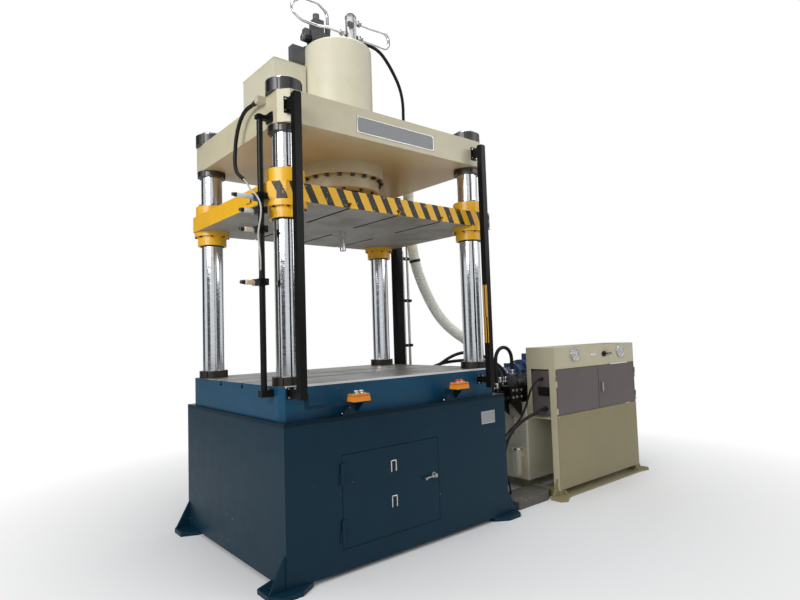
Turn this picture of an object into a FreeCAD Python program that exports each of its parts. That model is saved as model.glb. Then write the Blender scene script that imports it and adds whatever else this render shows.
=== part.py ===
import FreeCAD, Part
import math
import os

# Four-column hydraulic press with its oil power unit.
# Millimetres. +X to the operator's right, +Y to the rear, +Z up.
# The origin is on the floor, midway between the four columns.

V = FreeCAD.Vector
UP = V(0, 0, 1)

# ---- press frame ----
COLUMN_SPACING_X = 1426.0
COLUMN_SPACING_Y = 1036.0
COLUMN_DIAMETER = 138.0
COLUMN_CHAMFER = 4.0
TABLE_HEIGHT = 1000.0
DAYLIGHT = 969.0  # table to platen with the press open
STROKE = 700.0
PLATEN_TO_CROWN = 314.0  # with the press open

# ---- base cabinet and bed ----
CABINET_WIDTH = 1668.0
CABINET_DEPTH = 1344.0
CABINET_WALL = 12.0
CABINET_PLATE = 20.0
FOOT_HEIGHT = 25.0
FOOT_REACH = 95.0
FOOT_LENGTH = 150.0
GUSSET_HEIGHT = 160.0
GUSSET_THICKNESS = 16.0
ANCHOR_HOLE_DIAMETER = 22.0
BED_SIDE = 33.0  # outside the columns, left and right
BED_END = 21.0  # outside the columns, front and rear
BED_THICKNESS = 178.0
BED_CHAMFER = 26.0

# ---- T-slots ----
SLOT_MOUTH = 18.0
SLOT_HEAD = 30.0
SLOT_NECK_DEPTH = 18.0
SLOT_HEAD_DEPTH = 13.0
BED_SLOT_PITCH = 300.0
PLATEN_SLOT_PITCH = 360.0
PLATEN_SLOT_GAP = 130.0  # half of the plain middle of the platen

# ---- nuts on the columns ----
NUT_WALL = 22.0
NUT_HEIGHT = 45.0
LOCK_NUT_HEIGHT = 36.0  # under the crown
CROWN_NUT_WALL = 31.0
CROWN_NUT_HEIGHT = 70.0
NUT_SLOT_WIDTH = 18.0
NUT_SLOT_DEPTH = 8.0
COLUMN_STUB = 22.0  # column end beyond the crown nut

# ---- platen ----
PLATEN_SIDE = 51.0
PLATEN_END = 25.0
PLATEN_THICKNESS = 100.0
PLATEN_CHAMFER = 69.0
BUSH_WALL = 24.0
BUSH_DROP = 89.0
BUSH_FLANGE_RIM = 20.0
BUSH_FLANGE_THICKNESS = 32.0
BUSH_SEAT_DEPTH = 3.0  # flange let into the platen
COLLAR_WALL = 35.0
COLLAR_HEIGHT = 76.0
SLIDING_CLEARANCE = 0.06  # radial, bush on column and ram in gland
FIXED_CLEARANCE = 0.2  # radial, pieces that stay put
KNOCKOUT_DIAMETER = 42.0
KNOCKOUT_DROP = 138.0
DOG_WIDTH = 60.0
DOG_HEIGHT = 46.0
DOG_REACH = 10.0

# ---- crown and cylinder ----
CROWN_SIDE = 8.0
CROWN_END = 44.0
CROWN_THICKNESS = 178.0
CROWN_CHAMFER = 50.0
RAM_DIAMETER = 320.0
RAM_LENGTH = 880.0
BARREL_DIAMETER = 440.0
BARREL_CAP = 60.0
FLANGE_DIAMETER = 590.0
FLANGE_THICKNESS = 83.0
GLAND_DIAMETER = 520.0
GLAND_THICKNESS = 85.0
TANK_DIAMETER = 468.0
TANK_HEIGHT = 680.0
TANK_WALL = 8.0
TANK_EDGE = 22.0
TOP_BOX_WIDTH = 235.0
TOP_BOX_DEPTH = 470.0
TOP_BOX_HEIGHT = 520.0
TOP_BOX_GAP = 12.0
PILOT_TUBE_DIAMETER = 22.0
VALVE_PLATE_SIZE = 150.0
VALVE_PLATE_THICKNESS = 25.0
VALVE_WIDTH = 90.0

# ---- guard posts, two-hand stations, limit switches ----
POST_SIZE = 40.0
POST_HEAD_DROP = 56.0  # below the crown's top
POST_LEFT_INSET = 36.0  # from the crown's side
POST_LEFT_GAP = 87.0  # before the crown
POST_LEFT_DROP = 62.0  # foot below the table
POST_RIGHT_INSET = 124.0
POST_RIGHT_GAP = 71.0
POST_RIGHT_DROP = 120.0
POST_BRACKET_HEIGHT = 40.0
LENS_RISE = 174.0  # above the table
LENS_HEIGHT = 383.0
LENS_DEPTH = 30.0
SENSOR_DROP = 39.0  # below the open platen
SENSOR_HEIGHT = 110.0
STATION_INSET_LEFT = 429.0  # box centre from the press axis
STATION_INSET_RIGHT = 330.0
STATION_LENGTH = 105.0
STATION_DEPTH = 70.0
STATION_HEIGHT = 38.0
STATION_TAPER = 4.0
STATION_RISE = 81.0  # above the cabinet's ledge
STATION_REACH = 73.0  # before the cabinet
STATION_PLATE = 100.0  # width of the upright plate under a box
BUTTON_DIAMETER = 22.0
BUTTON_SPACING = 32.0
BUTTON_STAND = 18.0  # cap above the box
BUTTON_COLLAR = 30.0
BUTTON_TRAVEL = 5.0
ROD_DIAMETER = 32.0
ROD_OFFSET = 45.0  # rod axis from the bed's left side
ROD_FOOT_DROP = 52.0  # below the table
ROD_HEAD_RISE = 45.0  # above the crown's underside
ROD_CLIP = 36.0  # height of the clip at the bed
SWITCH_DIAMETER = 24.0
SWITCH_RISES = (21.0, -54.0, -154.0, -429.0)  # from the underside of the open platen
SWITCH_REACHES = (143.0, 105.0, 105.0, 105.0)  # to the left of the rod
SWITCH_SIDE = 32.0  # behind the rod
SERVICE_POST_SIZE = 70.0
SERVICE_POST_DROP = 95.0  # foot below the table
SERVICE_POST_RISE = 37.0  # head above the crown's underside

# ---- cabinet door ----
DOOR_LEFT = -500.0
DOOR_WIDTH = 700.0
DOOR_LOW = 130.0
DOOR_HEIGHT = 490.0
DOOR_GAP = 3.0
DOOR_THICKNESS = 8.0
HINGE_INSET = 98.0
HINGE_RADIUS = 7.0
HINGE_LENGTH = 60.0
STAPLE_WIDTH = 34.0
STAPLE_HEIGHT = 60.0
STAPLE_WIRE = 7.0
LATCH_LENGTH = 78.0
LATCH_KNOB = 16.0

# ---- plates ----
NAME_PLATE_WIDTH = 604.0
NAME_PLATE_HEIGHT = 100.0
LABEL_PLATE_WIDTH = 132.0
LABEL_PLATE_HEIGHT = 82.0
PLATE_THICKNESS = 2.0

# ---- power unit ----
UNIT_GAP = 596.0  # between the cabinet and the power unit
UNIT_WIDTH = 1170.0
UNIT_FRONT = -672.0
CONSOLE_DEPTH = 262.0
CONSOLE_HEIGHT = 1110.0
CONSOLE_WALL = 6.0
CONSOLE_POST_FRONT = 55.0
CONSOLE_POST_REAR = 40.0
STRIP_LOW = 945.0
SHELF_HEIGHT = 585.0
PANEL_LOW = 50.0
SKID_HEIGHT = 14.0
TANK_CLEAR = 20.0  # console back to the oil tank
OIL_TANK_DEPTH = 860.0
OIL_TANK_TOP = 686.0
OIL_TANK_LOW = 80.0
OIL_TANK_LID = 12.0
MOTOR_DIAMETER = 230.0
MOTOR_LENGTH = 400.0
MOTOR_SHAFT = 38.0
MOTOR_AXIS_HEIGHT = 862.0
MOTOR_Y = 50.0
MOTOR_X = 500.0  # drive end, from the power unit's left side
GAUGE_DIAMETER = 104.0
GAUGE_DEPTH = 34.0
GAUGE_PLACES = (258.0, 938.0)
GAUGE_HEIGHT = 1047.0
SELECTOR_PLACE = 684.0
SELECTOR_HEIGHT = 1034.0
LAMP_PLACE = 520.0
PANEL_DOOR_GAP = 3.0
UNIT_HINGE_RADIUS = 5.0

# ---- hoses, cables and bent pipes ----
HOSE_DIAMETER = 88.0
HOSE_ROOT = 78.0
HOSE_BORE = 64.0
RIB_PITCH = 36.0
PILOT_HOSE_DIAMETER = 26.0
TABLE_HOSE_DIAMETER = 26.0
ARCH_HOSE_DIAMETER = 28.0
PIPE_DIAMETER = 22.0
PIPE_BEND = 60.0
SWITCH_CABLE_DIAMETER = 22.0
SWITCH_LEAD_DIAMETER = 9.0
UNIT_CABLE_DIAMETER = 16.0
UNIT_CABLE_THICK_DIAMETER = 24.0

RETURN_HOSE = [
    (268, 60, 2700), (416, 60, 2700), (571, 104, 2725), (721, 167, 2703), (831, 247, 2615), (886, 307, 2473),
    (902, 336, 2312), (909, 345, 2147), (928, 335, 1984), (956, 329, 1821), (1006, 311, 1665),
    (1069, 287, 1515), (1147, 256, 1373), (1246, 198, 1255), (1373, 143, 1168), (1449, 122, 1024),
    (1500, 110, 868), (1500, 110, 720),
]
PILOT_HOSE = [
    (161, 44, 3440), (226, 109, 3440), (304, 148, 3464), (400, 152, 3482), (497, 152, 3462),
    (589, 176, 3415), (680, 213, 3364), (767, 258, 3316), (848, 315, 3270), (919, 380, 3209),
    (960, 429, 3124), (983, 459, 3025), (996, 478, 2921), (1004, 491, 2815), (1008, 500, 2709),
    (1010, 503, 2602), (1006, 500, 2496), (1005, 499, 2389), (1008, 502, 2283), (1011, 500, 2176),
    (1011, 500, 2080),
]
TABLE_HOSE_UPPER = [
    (842, 190, 938), (914, 190, 938), (985, 171, 963), (1039, 132, 1008), (1088, 86, 1051), (1139, 32, 1079),
    (1191, -29, 1086), (1237, -90, 1067), (1276, -150, 1030), (1305, -204, 980), (1318, -232, 908),
    (1318, -232, 836),
]
TABLE_HOSE_LOWER = [
    (842, 260, 938), (919, 260, 938), (995, 243, 958), (1058, 203, 988), (1116, 152, 1006), (1172, 92, 1014),
    (1222, 26, 1018), (1266, -44, 1016), (1304, -112, 1008), (1332, -154, 1000), (1356, -190, 974),
    (1374, -218, 935), (1384, -232, 887), (1384, -232, 836),
]
ARCH_HOSE = [
    (1195, -300, 800), (1195, -300, 852), (1193, -300, 903), (1192, -300, 954), (1193, -300, 1003),
    (1195, -300, 1049), (1220, -300, 1093), (1264, -300, 1118), (1316, -300, 1118), (1360, -300, 1093),
    (1385, -300, 1049), (1387, -300, 998), (1385, -300, 947), (1385, -300, 895),
]
SWITCH_CABLE = [
    (-822, -412, 2541), (-822, -353, 2541), (-831, -289, 2534), (-834, -232, 2502), (-838, -196, 2448),
    (-839, -170, 2387), (-839, -158, 2322), (-840, -154, 2257), (-842, -183, 2199), (-847, -238, 2165),
    (-850, -290, 2136),
]
SWITCH_LEAD = [
    (-850, -290, 2136), (-853, -332, 2112), (-866, -375, 2088), (-879, -418, 2060), (-889, -462, 2032),
    (-895, -508, 2010), (-898, -550, 1982), (-900, -586, 1948), (-901, -605, 1910), (-901, -598, 1862),
    (-901, -576, 1818), (-897, -557, 1777), (-896, -563, 1728), (-897, -577, 1680), (-894, -574, 1631),
    (-880, -541, 1602), (-880, -541, 1557),
]
CONSOLE_CABLE = [
    (1448, -542, 870), (1395, -542, 870), (1359, -532, 841), (1330, -515, 793), (1323, -498, 737),
    (1310, -485, 681), (1290, -473, 627), (1258, -462, 578), (1212, -454, 542), (1160, -451, 516),
    (1107, -452, 488), (1066, -455, 447), (1044, -459, 393), (1039, -463, 334), (1046, -468, 275),
    (1060, -471, 218), (1073, -473, 160), (1096, -474, 109), (1096, -474, 56),
]
SUPPLY_CABLE = [
    (1448, -566, 645), (1382, -566, 645), (1326, -539, 614), (1261, -516, 590), (1198, -497, 555),
    (1136, -490, 517), (1081, -491, 469), (1038, -496, 410), (1010, -500, 342), (1001, -502, 269),
    (998, -504, 196), (1000, -502, 122), (1000, -502, 56),
]
# heights above the tank
LEFT_LOOP_RISES = [
    (-35, 70, 199), (-35, 70, 307), (-118, 63, 351), (-250, 55, 339), (-330, 46, 277), (-340, 34, 205),
    (-280, 16, 151), (-160, 4, 141), (-70, 0, 159), (70, 0, 159),
]
RIGHT_LOOP_RISES = [
    (164, 6, 275), (300, 6, 275), (464, 2, 285), (466, -6, 155), (300, -10, 153), (164, -10, 153),
]
INNER_PIPE_X = 958.0
OUTER_PIPE_X = 1011.0
PIPE_Y = 500.0
PIPE_TOP = 2040.0
BED_PORT_REACH = 27.0
BED_PORT_DROP = 62.0
TANK_PORT_REACH = 34.0
TANK_PORT_Y = 60.0
TANK_PORT_RISE = 139.0
PILOT_PORT_OUT = 44.0  # to the right and to the rear of the ported column
PILOT_PORT_RISE = 199.0
ELBOW_REACH = 32.0
ELBOW_INSET = 219.0
ELBOW_DROP = 20.0

# ---- worked out from the sizes above ----
COLUMN_X = COLUMN_SPACING_X / 2
COLUMN_Y = COLUMN_SPACING_Y / 2
COLUMN_R = COLUMN_DIAMETER / 2
CORNERS = ((-1, -1), (1, -1), (-1, 1), (1, 1))
CORNER_NAMES = ("front_left", "front_right", "rear_left", "rear_right")
SPAN_X = COLUMN_SPACING_X + COLUMN_DIAMETER
SPAN_Y = COLUMN_SPACING_Y + COLUMN_DIAMETER
BED_WIDTH = SPAN_X + 2 * BED_SIDE
BED_DEPTH = SPAN_Y + 2 * BED_END
PLATEN_WIDTH = SPAN_X + 2 * PLATEN_SIDE
PLATEN_DEPTH = SPAN_Y + 2 * PLATEN_END
CROWN_WIDTH = SPAN_X + 2 * CROWN_SIDE
CROWN_DEPTH = SPAN_Y + 2 * CROWN_END
NUT_DIAMETER = COLUMN_DIAMETER + 2 * NUT_WALL
CROWN_NUT_DIAMETER = COLUMN_DIAMETER + 2 * CROWN_NUT_WALL
BUSH_DIAMETER = COLUMN_DIAMETER + 2 * BUSH_WALL
BUSH_FLANGE_DIAMETER = BUSH_DIAMETER + 2 * BUSH_FLANGE_RIM
COLLAR_DIAMETER = COLUMN_DIAMETER + 2 * COLLAR_WALL
BED_LOW = TABLE_HEIGHT - BED_THICKNESS
PLATEN_LOW = TABLE_HEIGHT + DAYLIGHT
PLATEN_TOP = PLATEN_LOW + PLATEN_THICKNESS
CROWN_LOW = PLATEN_TOP + PLATEN_TO_CROWN
CROWN_TOP = CROWN_LOW + CROWN_THICKNESS
COLUMN_LOW = BED_LOW - CABINET_PLATE - NUT_HEIGHT - COLUMN_STUB
COLUMN_TOP = CROWN_TOP + CROWN_NUT_HEIGHT + COLUMN_STUB
TANK_TOP = CROWN_TOP + TANK_HEIGHT
FRONT = -CABINET_DEPTH / 2
POST_TOP = CROWN_TOP - POST_HEAD_DROP
POST_LEFT_PLACE = (-CROWN_WIDTH / 2 + POST_LEFT_INSET, -CROWN_DEPTH / 2 - POST_LEFT_GAP)
POST_RIGHT_PLACE = (CROWN_WIDTH / 2 - POST_RIGHT_INSET, -CROWN_DEPTH / 2 - POST_RIGHT_GAP)
POST_LEFT_LOW = TABLE_HEIGHT - POST_LEFT_DROP
POST_RIGHT_LOW = TABLE_HEIGHT - POST_RIGHT_DROP
LENS_LOW = TABLE_HEIGHT + LENS_RISE
SENSOR_LOW = PLATEN_LOW - SENSOR_DROP
STATION_BASE = BED_LOW + STATION_RISE
STATION_Y = FRONT - STATION_REACH
ROD_LOW = TABLE_HEIGHT - ROD_FOOT_DROP
ROD_TOP = CROWN_LOW + ROD_HEAD_RISE
SWITCH_HEIGHTS = [PLATEN_LOW + rise for rise in SWITCH_RISES]
SERVICE_POST_LOW = TABLE_HEIGHT - SERVICE_POST_DROP
SERVICE_POST_TOP = CROWN_LOW + SERVICE_POST_RISE
LEFT_LOOP = [(x, y, TANK_TOP + rise) for x, y, rise in LEFT_LOOP_RISES]
RIGHT_LOOP = [(x, y, TANK_TOP + rise) for x, y, rise in RIGHT_LOOP_RISES]
DOOR_RIGHT = DOOR_LEFT + DOOR_WIDTH
DOOR_TOP = DOOR_LOW + DOOR_HEIGHT
UNIT_LEFT = CABINET_WIDTH / 2 + UNIT_GAP
UNIT_RIGHT = UNIT_LEFT + UNIT_WIDTH
CONSOLE_BACK = UNIT_FRONT + CONSOLE_DEPTH
OIL_TANK_FRONT = CONSOLE_BACK + TANK_CLEAR
OIL_TANK_BACK = OIL_TANK_FRONT + OIL_TANK_DEPTH


# ---- shapes ----
def block(x0, x1, y0, y1, z0, z1):
    """A box between two corners."""
    return Part.makeBox(x1 - x0, y1 - y0, z1 - z0, V(x0, y0, z0))


def post(diameter, x, y, z0, z1):
    """An upright round bar."""
    return Part.makeCylinder(diameter / 2, z1 - z0, V(x, y, z0), UP)


def rod(diameter, start, end):
    """A round bar between two points."""
    start, end = V(*start), V(*end)
    return Part.makeCylinder(diameter / 2, start.distanceToPoint(end), start, end - start)


def ring(outer, inner, x, y, z0, z1):
    """An upright round bar with a bore through it."""
    return post(outer, x, y, z0, z1).cut(post(inner, x, y, z0 - 1, z1 + 1))


def prism(outline, along):
    """A flat outline of points pushed along a vector."""
    corners = [V(*p) for p in outline]
    return Part.Face(Part.makePolygon(corners + corners[:1])).extrude(V(*along))


def plate(width, depth, chamfer, z0, z1):
    """A flat slab on the press axis with its four corners cut off."""
    x, y, c = width / 2, depth / 2, chamfer
    outline = [
        (-x + c, -y), (x - c, -y), (x, -y + c), (x, y - c),
        (x - c, y), (-x + c, y), (-x, y - c), (-x, -y + c),
    ]
    return prism([(px, py, z0) for px, py in outline], (0, 0, z1 - z0))


def soften(shape, size, keep):
    """Chamfer the straight or round edges that keep(edge) picks."""
    edges = [e for e in shape.Edges if keep(e)]
    return shape.makeChamfer(size, edges) if edges else shape


def is_level(height):
    """Pick round edges that lie at one height."""
    def keep(edge):
        box = edge.BoundBox
        round_edge = edge.Curve.TypeId == "Part::GeomCircle"
        return round_edge and box.ZLength < 1e-3 and abs(box.ZMin - height) < 1e-3
    return keep


def group(*shapes):
    """Separate solids kept together in one sub-part."""
    return Part.makeCompound(list(shapes))


# ---- hoses and bent tubes ----
def path_of(points, radius=None):
    """Straight runs joined by tangent arcs, and the tightest arc's radius.

    Without a radius each arc is as large as its two runs allow.
    """
    corners = [V(*p) for p in points]
    edges = []
    tightest = None
    last = corners[0]
    for before, corner, after in zip(corners, corners[1:], corners[2:]):
        back = (before - corner)
        ahead = (after - corner)
        shorter = min(back.Length, ahead.Length)
        back.normalize()
        ahead.normalize()
        half_turn = (math.pi - back.getAngle(ahead)) / 2
        reach = 0.45 * shorter
        if radius:
            reach = min(reach, radius * math.tan(half_turn))
        size = reach / math.tan(half_turn)
        start = corner + back * reach
        end = corner + ahead * reach
        middle = back + ahead
        middle.normalize()
        centre = corner + middle * (size / math.cos(half_turn))
        top = centre - middle * size
        edges.append(Part.LineSegment(last, start).toShape())
        edges.append(Part.Arc(start, top, end).toShape())
        tightest = size if tightest is None else min(tightest, size)
        last = end
    edges.append(Part.LineSegment(last, corners[-1]).toShape())
    return Part.Wire(edges), tightest


def tube(name, diameter, points, radius=None):
    """A round section carried along a path of runs and arcs."""
    path, tightest = path_of(points, radius)
    start = V(*points[0])
    heading = V(*points[1]) - start
    section = Part.Wire(Part.Circle(start, heading, diameter / 2).toShape())
    solid = path.makePipeShell([section], True, False)
    full = math.pi * diameter**2 / 4 * path.Length
    ratio = solid.Volume / full
    print(f"{name}: length {path.Length:.0f}, least radius {tightest:.0f}, volume ratio {ratio:.4f}")
    return solid


def station_on(edges, place):
    """The point and heading at a distance along a chain of edges."""
    for edge in edges:
        if place <= edge.Length:
            at = edge.getParameterByLength(place)
            return edge.valueAt(at), edge.tangentAt(at)
        place -= edge.Length
    edge = edges[-1]
    return edge.valueAt(edge.LastParameter), edge.tangentAt(edge.LastParameter)


def ribbed_hose(name, points):
    """A corrugated hose: crests and roots in turn along the path, with a smooth bore."""
    path, tightest = path_of(points)
    edges = path.OrderedEdges
    plain = HOSE_DIAMETER
    count = int((path.Length - 2 * plain) // RIB_PITCH)
    first = (path.Length - count * RIB_PITCH) / 2
    rings = [(0.0, HOSE_ROOT), (first, HOSE_ROOT)]
    for number in range(count):
        at = first + number * RIB_PITCH
        rings.append((at + 0.20 * RIB_PITCH, HOSE_DIAMETER))
        rings.append((at + 0.50 * RIB_PITCH, HOSE_DIAMETER))
        rings.append((at + 0.70 * RIB_PITCH, HOSE_ROOT))
        rings.append((at + 1.00 * RIB_PITCH, HOSE_ROOT))
    rings.append((path.Length, HOSE_ROOT))
    circles = []
    side = V(0, 1, 0)
    for place, diameter in rings:
        centre, heading = station_on(edges, place)
        heading.normalize()
        side = side - heading * side.dot(heading)
        side.normalize()
        frame = FreeCAD.Rotation(side, heading.cross(side), heading, "ZXY")
        circle = Part.makeCircle(diameter / 2)
        circle.Placement = FreeCAD.Placement(centre, frame)
        circles.append(Part.Wire(circle))
    outside = Part.makeLoft(circles, True, True)
    start = V(*points[0])
    section = Part.Wire(Part.Circle(start, V(*points[1]) - start, HOSE_BORE / 2).toShape())
    bore = path.makePipeShell([section], True, False)
    print(f"{name}: length {path.Length:.0f}, least radius {tightest:.0f}, {count} ribs")
    return outside.cut(bore)


# ---- base ----
def base_floor():
    """The bottom plate of the cabinet, raised on the feet."""
    x, y = CABINET_WIDTH / 2, CABINET_DEPTH / 2
    return block(-x, x, -y, y, FOOT_HEIGHT, FOOT_HEIGHT + CABINET_WALL)


def base_walls():
    """The left, right and rear walls, plain welded plates."""
    x, y, t = CABINET_WIDTH / 2, CABINET_DEPTH / 2, CABINET_WALL
    z0, z1 = FOOT_HEIGHT + t, BED_LOW - CABINET_PLATE
    left = block(-x, -x + t, -y + t, y - t, z0, z1)
    right = block(x - t, x, -y + t, y - t, z0, z1)
    rear = block(-x, x, y - t, y, z0, z1)
    return group(left, right, rear)


def base_front():
    """The front wall with the door opening and its two hinge pins."""
    x, y, t = CABINET_WIDTH / 2, CABINET_DEPTH / 2, CABINET_WALL
    wall = block(-x, x, -y, -y + t, FOOT_HEIGHT + t, BED_LOW - CABINET_PLATE)
    opening = block(DOOR_LEFT, DOOR_RIGHT, -y - 1, -y + t + 1, DOOR_LOW, DOOR_TOP)
    wall = wall.cut(opening)
    for z in door_hinge_heights():
        room = block(DOOR_LEFT - 14, DOOR_LEFT + 1, -y - 1, -y + 1, z, z + HINGE_LENGTH + 2)
        pin = hinge_pin(DOOR_LEFT - 3, -y - HINGE_RADIUS, z, -1, HINGE_RADIUS, HINGE_LENGTH)
        wall = wall.cut(room).fuse(pin)
    return wall


def hinge_pin(x, y, z, side, radius, length):
    """The fixed half of a hinge: a lug to one side, a knuckle and the pin that stands on it."""
    x0, x1 = sorted((x, x + side * 2.4 * radius))
    lug = block(x0, x1, y + 0.3 * radius, y + radius, z - length, z)
    return lug.fuse([post(2 * radius, x, y, z - length, z), post(radius, x, y, z, z + length - 4)])


def hinge_eye(x, y, z, side, radius, length):
    """The moving half of a hinge: a flap to one side and an eye over the pin."""
    x0, x1 = sorted((x, x + side * 5 * radius))
    flap = block(x0, x1, y + 0.3 * radius, y + radius, z + 0.3, z + length - 6)
    eye = post(2 * radius, x, y, z + 0.3, z + length - 6)
    hole = post(radius + 2 * SLIDING_CLEARANCE, x, y, z - 1, z + length)
    return flap.fuse(eye).cut(hole)


def door_hinge_heights():
    """Where the two door hinges divide into their fixed and moving halves."""
    return (DOOR_LOW + HINGE_INSET, DOOR_TOP - HINGE_INSET)


def base_top():
    """The top plate of the cabinet, with clearance holes for the columns."""
    x, y = CABINET_WIDTH / 2, CABINET_DEPTH / 2
    slab = block(-x, x, -y, y, BED_LOW - CABINET_PLATE, BED_LOW)
    for sx, sy in CORNERS:
        hole = post(COLUMN_DIAMETER + 2 * FIXED_CLEARANCE, sx * COLUMN_X, sy * COLUMN_Y, 0, TABLE_HEIGHT)
        slab = slab.cut(hole)
    return slab


def anchor_place(sx, sy):
    """The anchor hole of one foot."""
    x = CABINET_WIDTH / 2 + FOOT_REACH * 0.55
    y = CABINET_DEPTH / 2 - FOOT_LENGTH * 0.45
    return sx * x, sy * y


def foot(sx, sy):
    """A corner foot: a floor plate with slanted ends and an upright gusset."""
    x, y = CABINET_WIDTH / 2, CABINET_DEPTH / 2
    inner = x - FOOT_LENGTH
    outline = [
        (inner, y - FOOT_LENGTH), (x, y - FOOT_LENGTH - 20), (x + FOOT_REACH, y - FOOT_LENGTH + 25),
        (x + FOOT_REACH, y - 8), (x + 0.55 * FOOT_REACH, y + 0.6 * FOOT_REACH),
        (x - 60, y + 0.6 * FOOT_REACH), (inner, y),
    ]
    sole = prism([(sx * px, sy * py, 0) for px, py in outline], (0, 0, FOOT_HEIGHT))
    low, high = FOOT_HEIGHT, FOOT_HEIGHT + GUSSET_HEIGHT
    web = [(sx * x, 0, low), (sx * (x + FOOT_REACH - 6), 0, low), (sx * x, 0, high)]
    gusset = prism([(px, sy * (y - 14) - GUSSET_THICKNESS / 2, pz) for px, py, pz in web],
                   (0, GUSSET_THICKNESS, 0))
    ax, ay = anchor_place(sx, sy)
    hole = post(ANCHOR_HOLE_DIAMETER, ax, ay, -1, FOOT_HEIGHT + 1)
    return sole.fuse(gusset).cut(hole)


def base_feet():
    """The four corner feet that the press stands on."""
    return group(*[foot(sx, sy) for sx, sy in CORNERS])


def slot_profile(z_face, inward):
    """The T of a clamping slot as offsets from its middle, and heights from the face."""
    m, h = SLOT_MOUTH / 2, SLOT_HEAD / 2
    a = z_face - inward
    b = z_face + inward * SLOT_NECK_DEPTH
    c = b + inward * SLOT_HEAD_DEPTH
    return [(-m, a), (m, a), (m, b), (h, b), (h, c), (-h, c), (-h, b), (-m, b)]


def bed_table():
    """The bed: a thick slab with two T-slots from side to side and column holes."""
    bed = plate(BED_WIDTH, BED_DEPTH, BED_CHAMFER, BED_LOW, TABLE_HEIGHT)
    x = BED_WIDTH / 2 + 1
    for side in (-1, 1):
        middle = side * BED_SLOT_PITCH / 2
        outline = [(-x, middle + across, z) for across, z in slot_profile(TABLE_HEIGHT, -1)]
        bed = bed.cut(prism(outline, (2 * x, 0, 0)))
    for sx, sy in CORNERS:
        bed = bed.cut(post(COLUMN_DIAMETER + 2 * FIXED_CLEARANCE, sx * COLUMN_X, sy * COLUMN_Y,
                           BED_LOW - 1, TABLE_HEIGHT + 1))
    return bed.fuse(table_ports())


# ---- columns and nuts ----
def column(sx, sy):
    """A ground and chromed column with chamfered ends."""
    bar = post(COLUMN_DIAMETER, sx * COLUMN_X, sy * COLUMN_Y, COLUMN_LOW, COLUMN_TOP)
    for height in (COLUMN_LOW, COLUMN_TOP):
        bar = soften(bar, COLUMN_CHAMFER, is_level(height))
    return bar


def round_nut(diameter, x, y, z0, height):
    """A round nut with four spanner slots."""
    nut = ring(diameter, COLUMN_DIAMETER + 2 * FIXED_CLEARANCE, x, y, z0, z0 + height)
    half = NUT_SLOT_WIDTH / 2
    slot = block(diameter / 2 - NUT_SLOT_DEPTH, diameter, -half, half, -1, height + 1)
    for number in range(4):
        notch = slot.copy()
        notch.rotate(V(0, 0, 0), UP, 45 + 90 * number)
        notch.translate(V(x, y, z0))
        nut = nut.cut(notch)
    return nut


def bed_nuts():
    """The nuts that clamp the bed to the columns, above and below it."""
    below = BED_LOW - CABINET_PLATE - NUT_HEIGHT
    nuts = []
    for sx, sy in CORNERS:
        for z in (below, TABLE_HEIGHT):
            nuts.append(round_nut(NUT_DIAMETER, sx * COLUMN_X, sy * COLUMN_Y, z, NUT_HEIGHT))
    return group(*nuts)


def crown_nuts():
    """The nuts that clamp the crown to the columns, above and below it."""
    nuts = []
    for sx, sy in CORNERS:
        x, y = sx * COLUMN_X, sy * COLUMN_Y
        nuts.append(round_nut(NUT_DIAMETER, x, y, CROWN_LOW - LOCK_NUT_HEIGHT, LOCK_NUT_HEIGHT))
        nuts.append(round_nut(CROWN_NUT_DIAMETER, x, y, CROWN_TOP, CROWN_NUT_HEIGHT))
    return group(*nuts)


# ---- crown, cylinder and what stands on them ----
def crown():
    """The top beam: a slab with column holes and the cylinder's bore."""
    slab = plate(CROWN_WIDTH, CROWN_DEPTH, CROWN_CHAMFER, CROWN_LOW, CROWN_TOP)
    for sx, sy in CORNERS:
        slab = slab.cut(post(COLUMN_DIAMETER + 2 * FIXED_CLEARANCE, sx * COLUMN_X, sy * COLUMN_Y,
                             CROWN_LOW - 1, CROWN_TOP + 1))
    slab = slab.cut(post(BARREL_DIAMETER + 2 * FIXED_CLEARANCE, 0, 0, CROWN_LOW - 1, CROWN_TOP + 1))
    x, y, z = -CROWN_WIDTH / 2 - ELBOW_REACH, -CROWN_DEPTH / 2 + ELBOW_INSET, CROWN_TOP - ELBOW_DROP
    half = SWITCH_CABLE_DIAMETER / 2 + 6
    elbow = block(x - half, -CROWN_WIDTH / 2, y - 48, y - 14, z - half, z + half)
    return slab.fuse([elbow, rod(SWITCH_CABLE_DIAMETER + 8, (x, y - 14, z), (x, y, z))])


def main_cylinder():
    """The cylinder: a barrel through the crown, its flange below, and the ram's gland ring."""
    bore = RAM_DIAMETER + 2 * SLIDING_CLEARANCE
    ram_top = PLATEN_TOP + RAM_LENGTH
    outline = [
        (bore / 2, CROWN_LOW - FLANGE_THICKNESS - GLAND_THICKNESS),
        (GLAND_DIAMETER / 2 - 6, CROWN_LOW - FLANGE_THICKNESS - GLAND_THICKNESS),
        (GLAND_DIAMETER / 2, CROWN_LOW - FLANGE_THICKNESS - GLAND_THICKNESS + 6),
        (GLAND_DIAMETER / 2, CROWN_LOW - FLANGE_THICKNESS),
        (FLANGE_DIAMETER / 2, CROWN_LOW - FLANGE_THICKNESS),
        (FLANGE_DIAMETER / 2, CROWN_LOW),
        (BARREL_DIAMETER / 2, CROWN_LOW),
        (BARREL_DIAMETER / 2, ram_top + 5 + BARREL_CAP),
        (0, ram_top + 5 + BARREL_CAP),
        (0, ram_top + 5),
        (bore / 2, ram_top + 5),
    ]
    corners = [V(r, 0, z) for r, z in outline]
    return Part.Face(Part.makePolygon(corners + corners[:1])).revolve(V(0, 0, 0), UP, 360)


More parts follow.
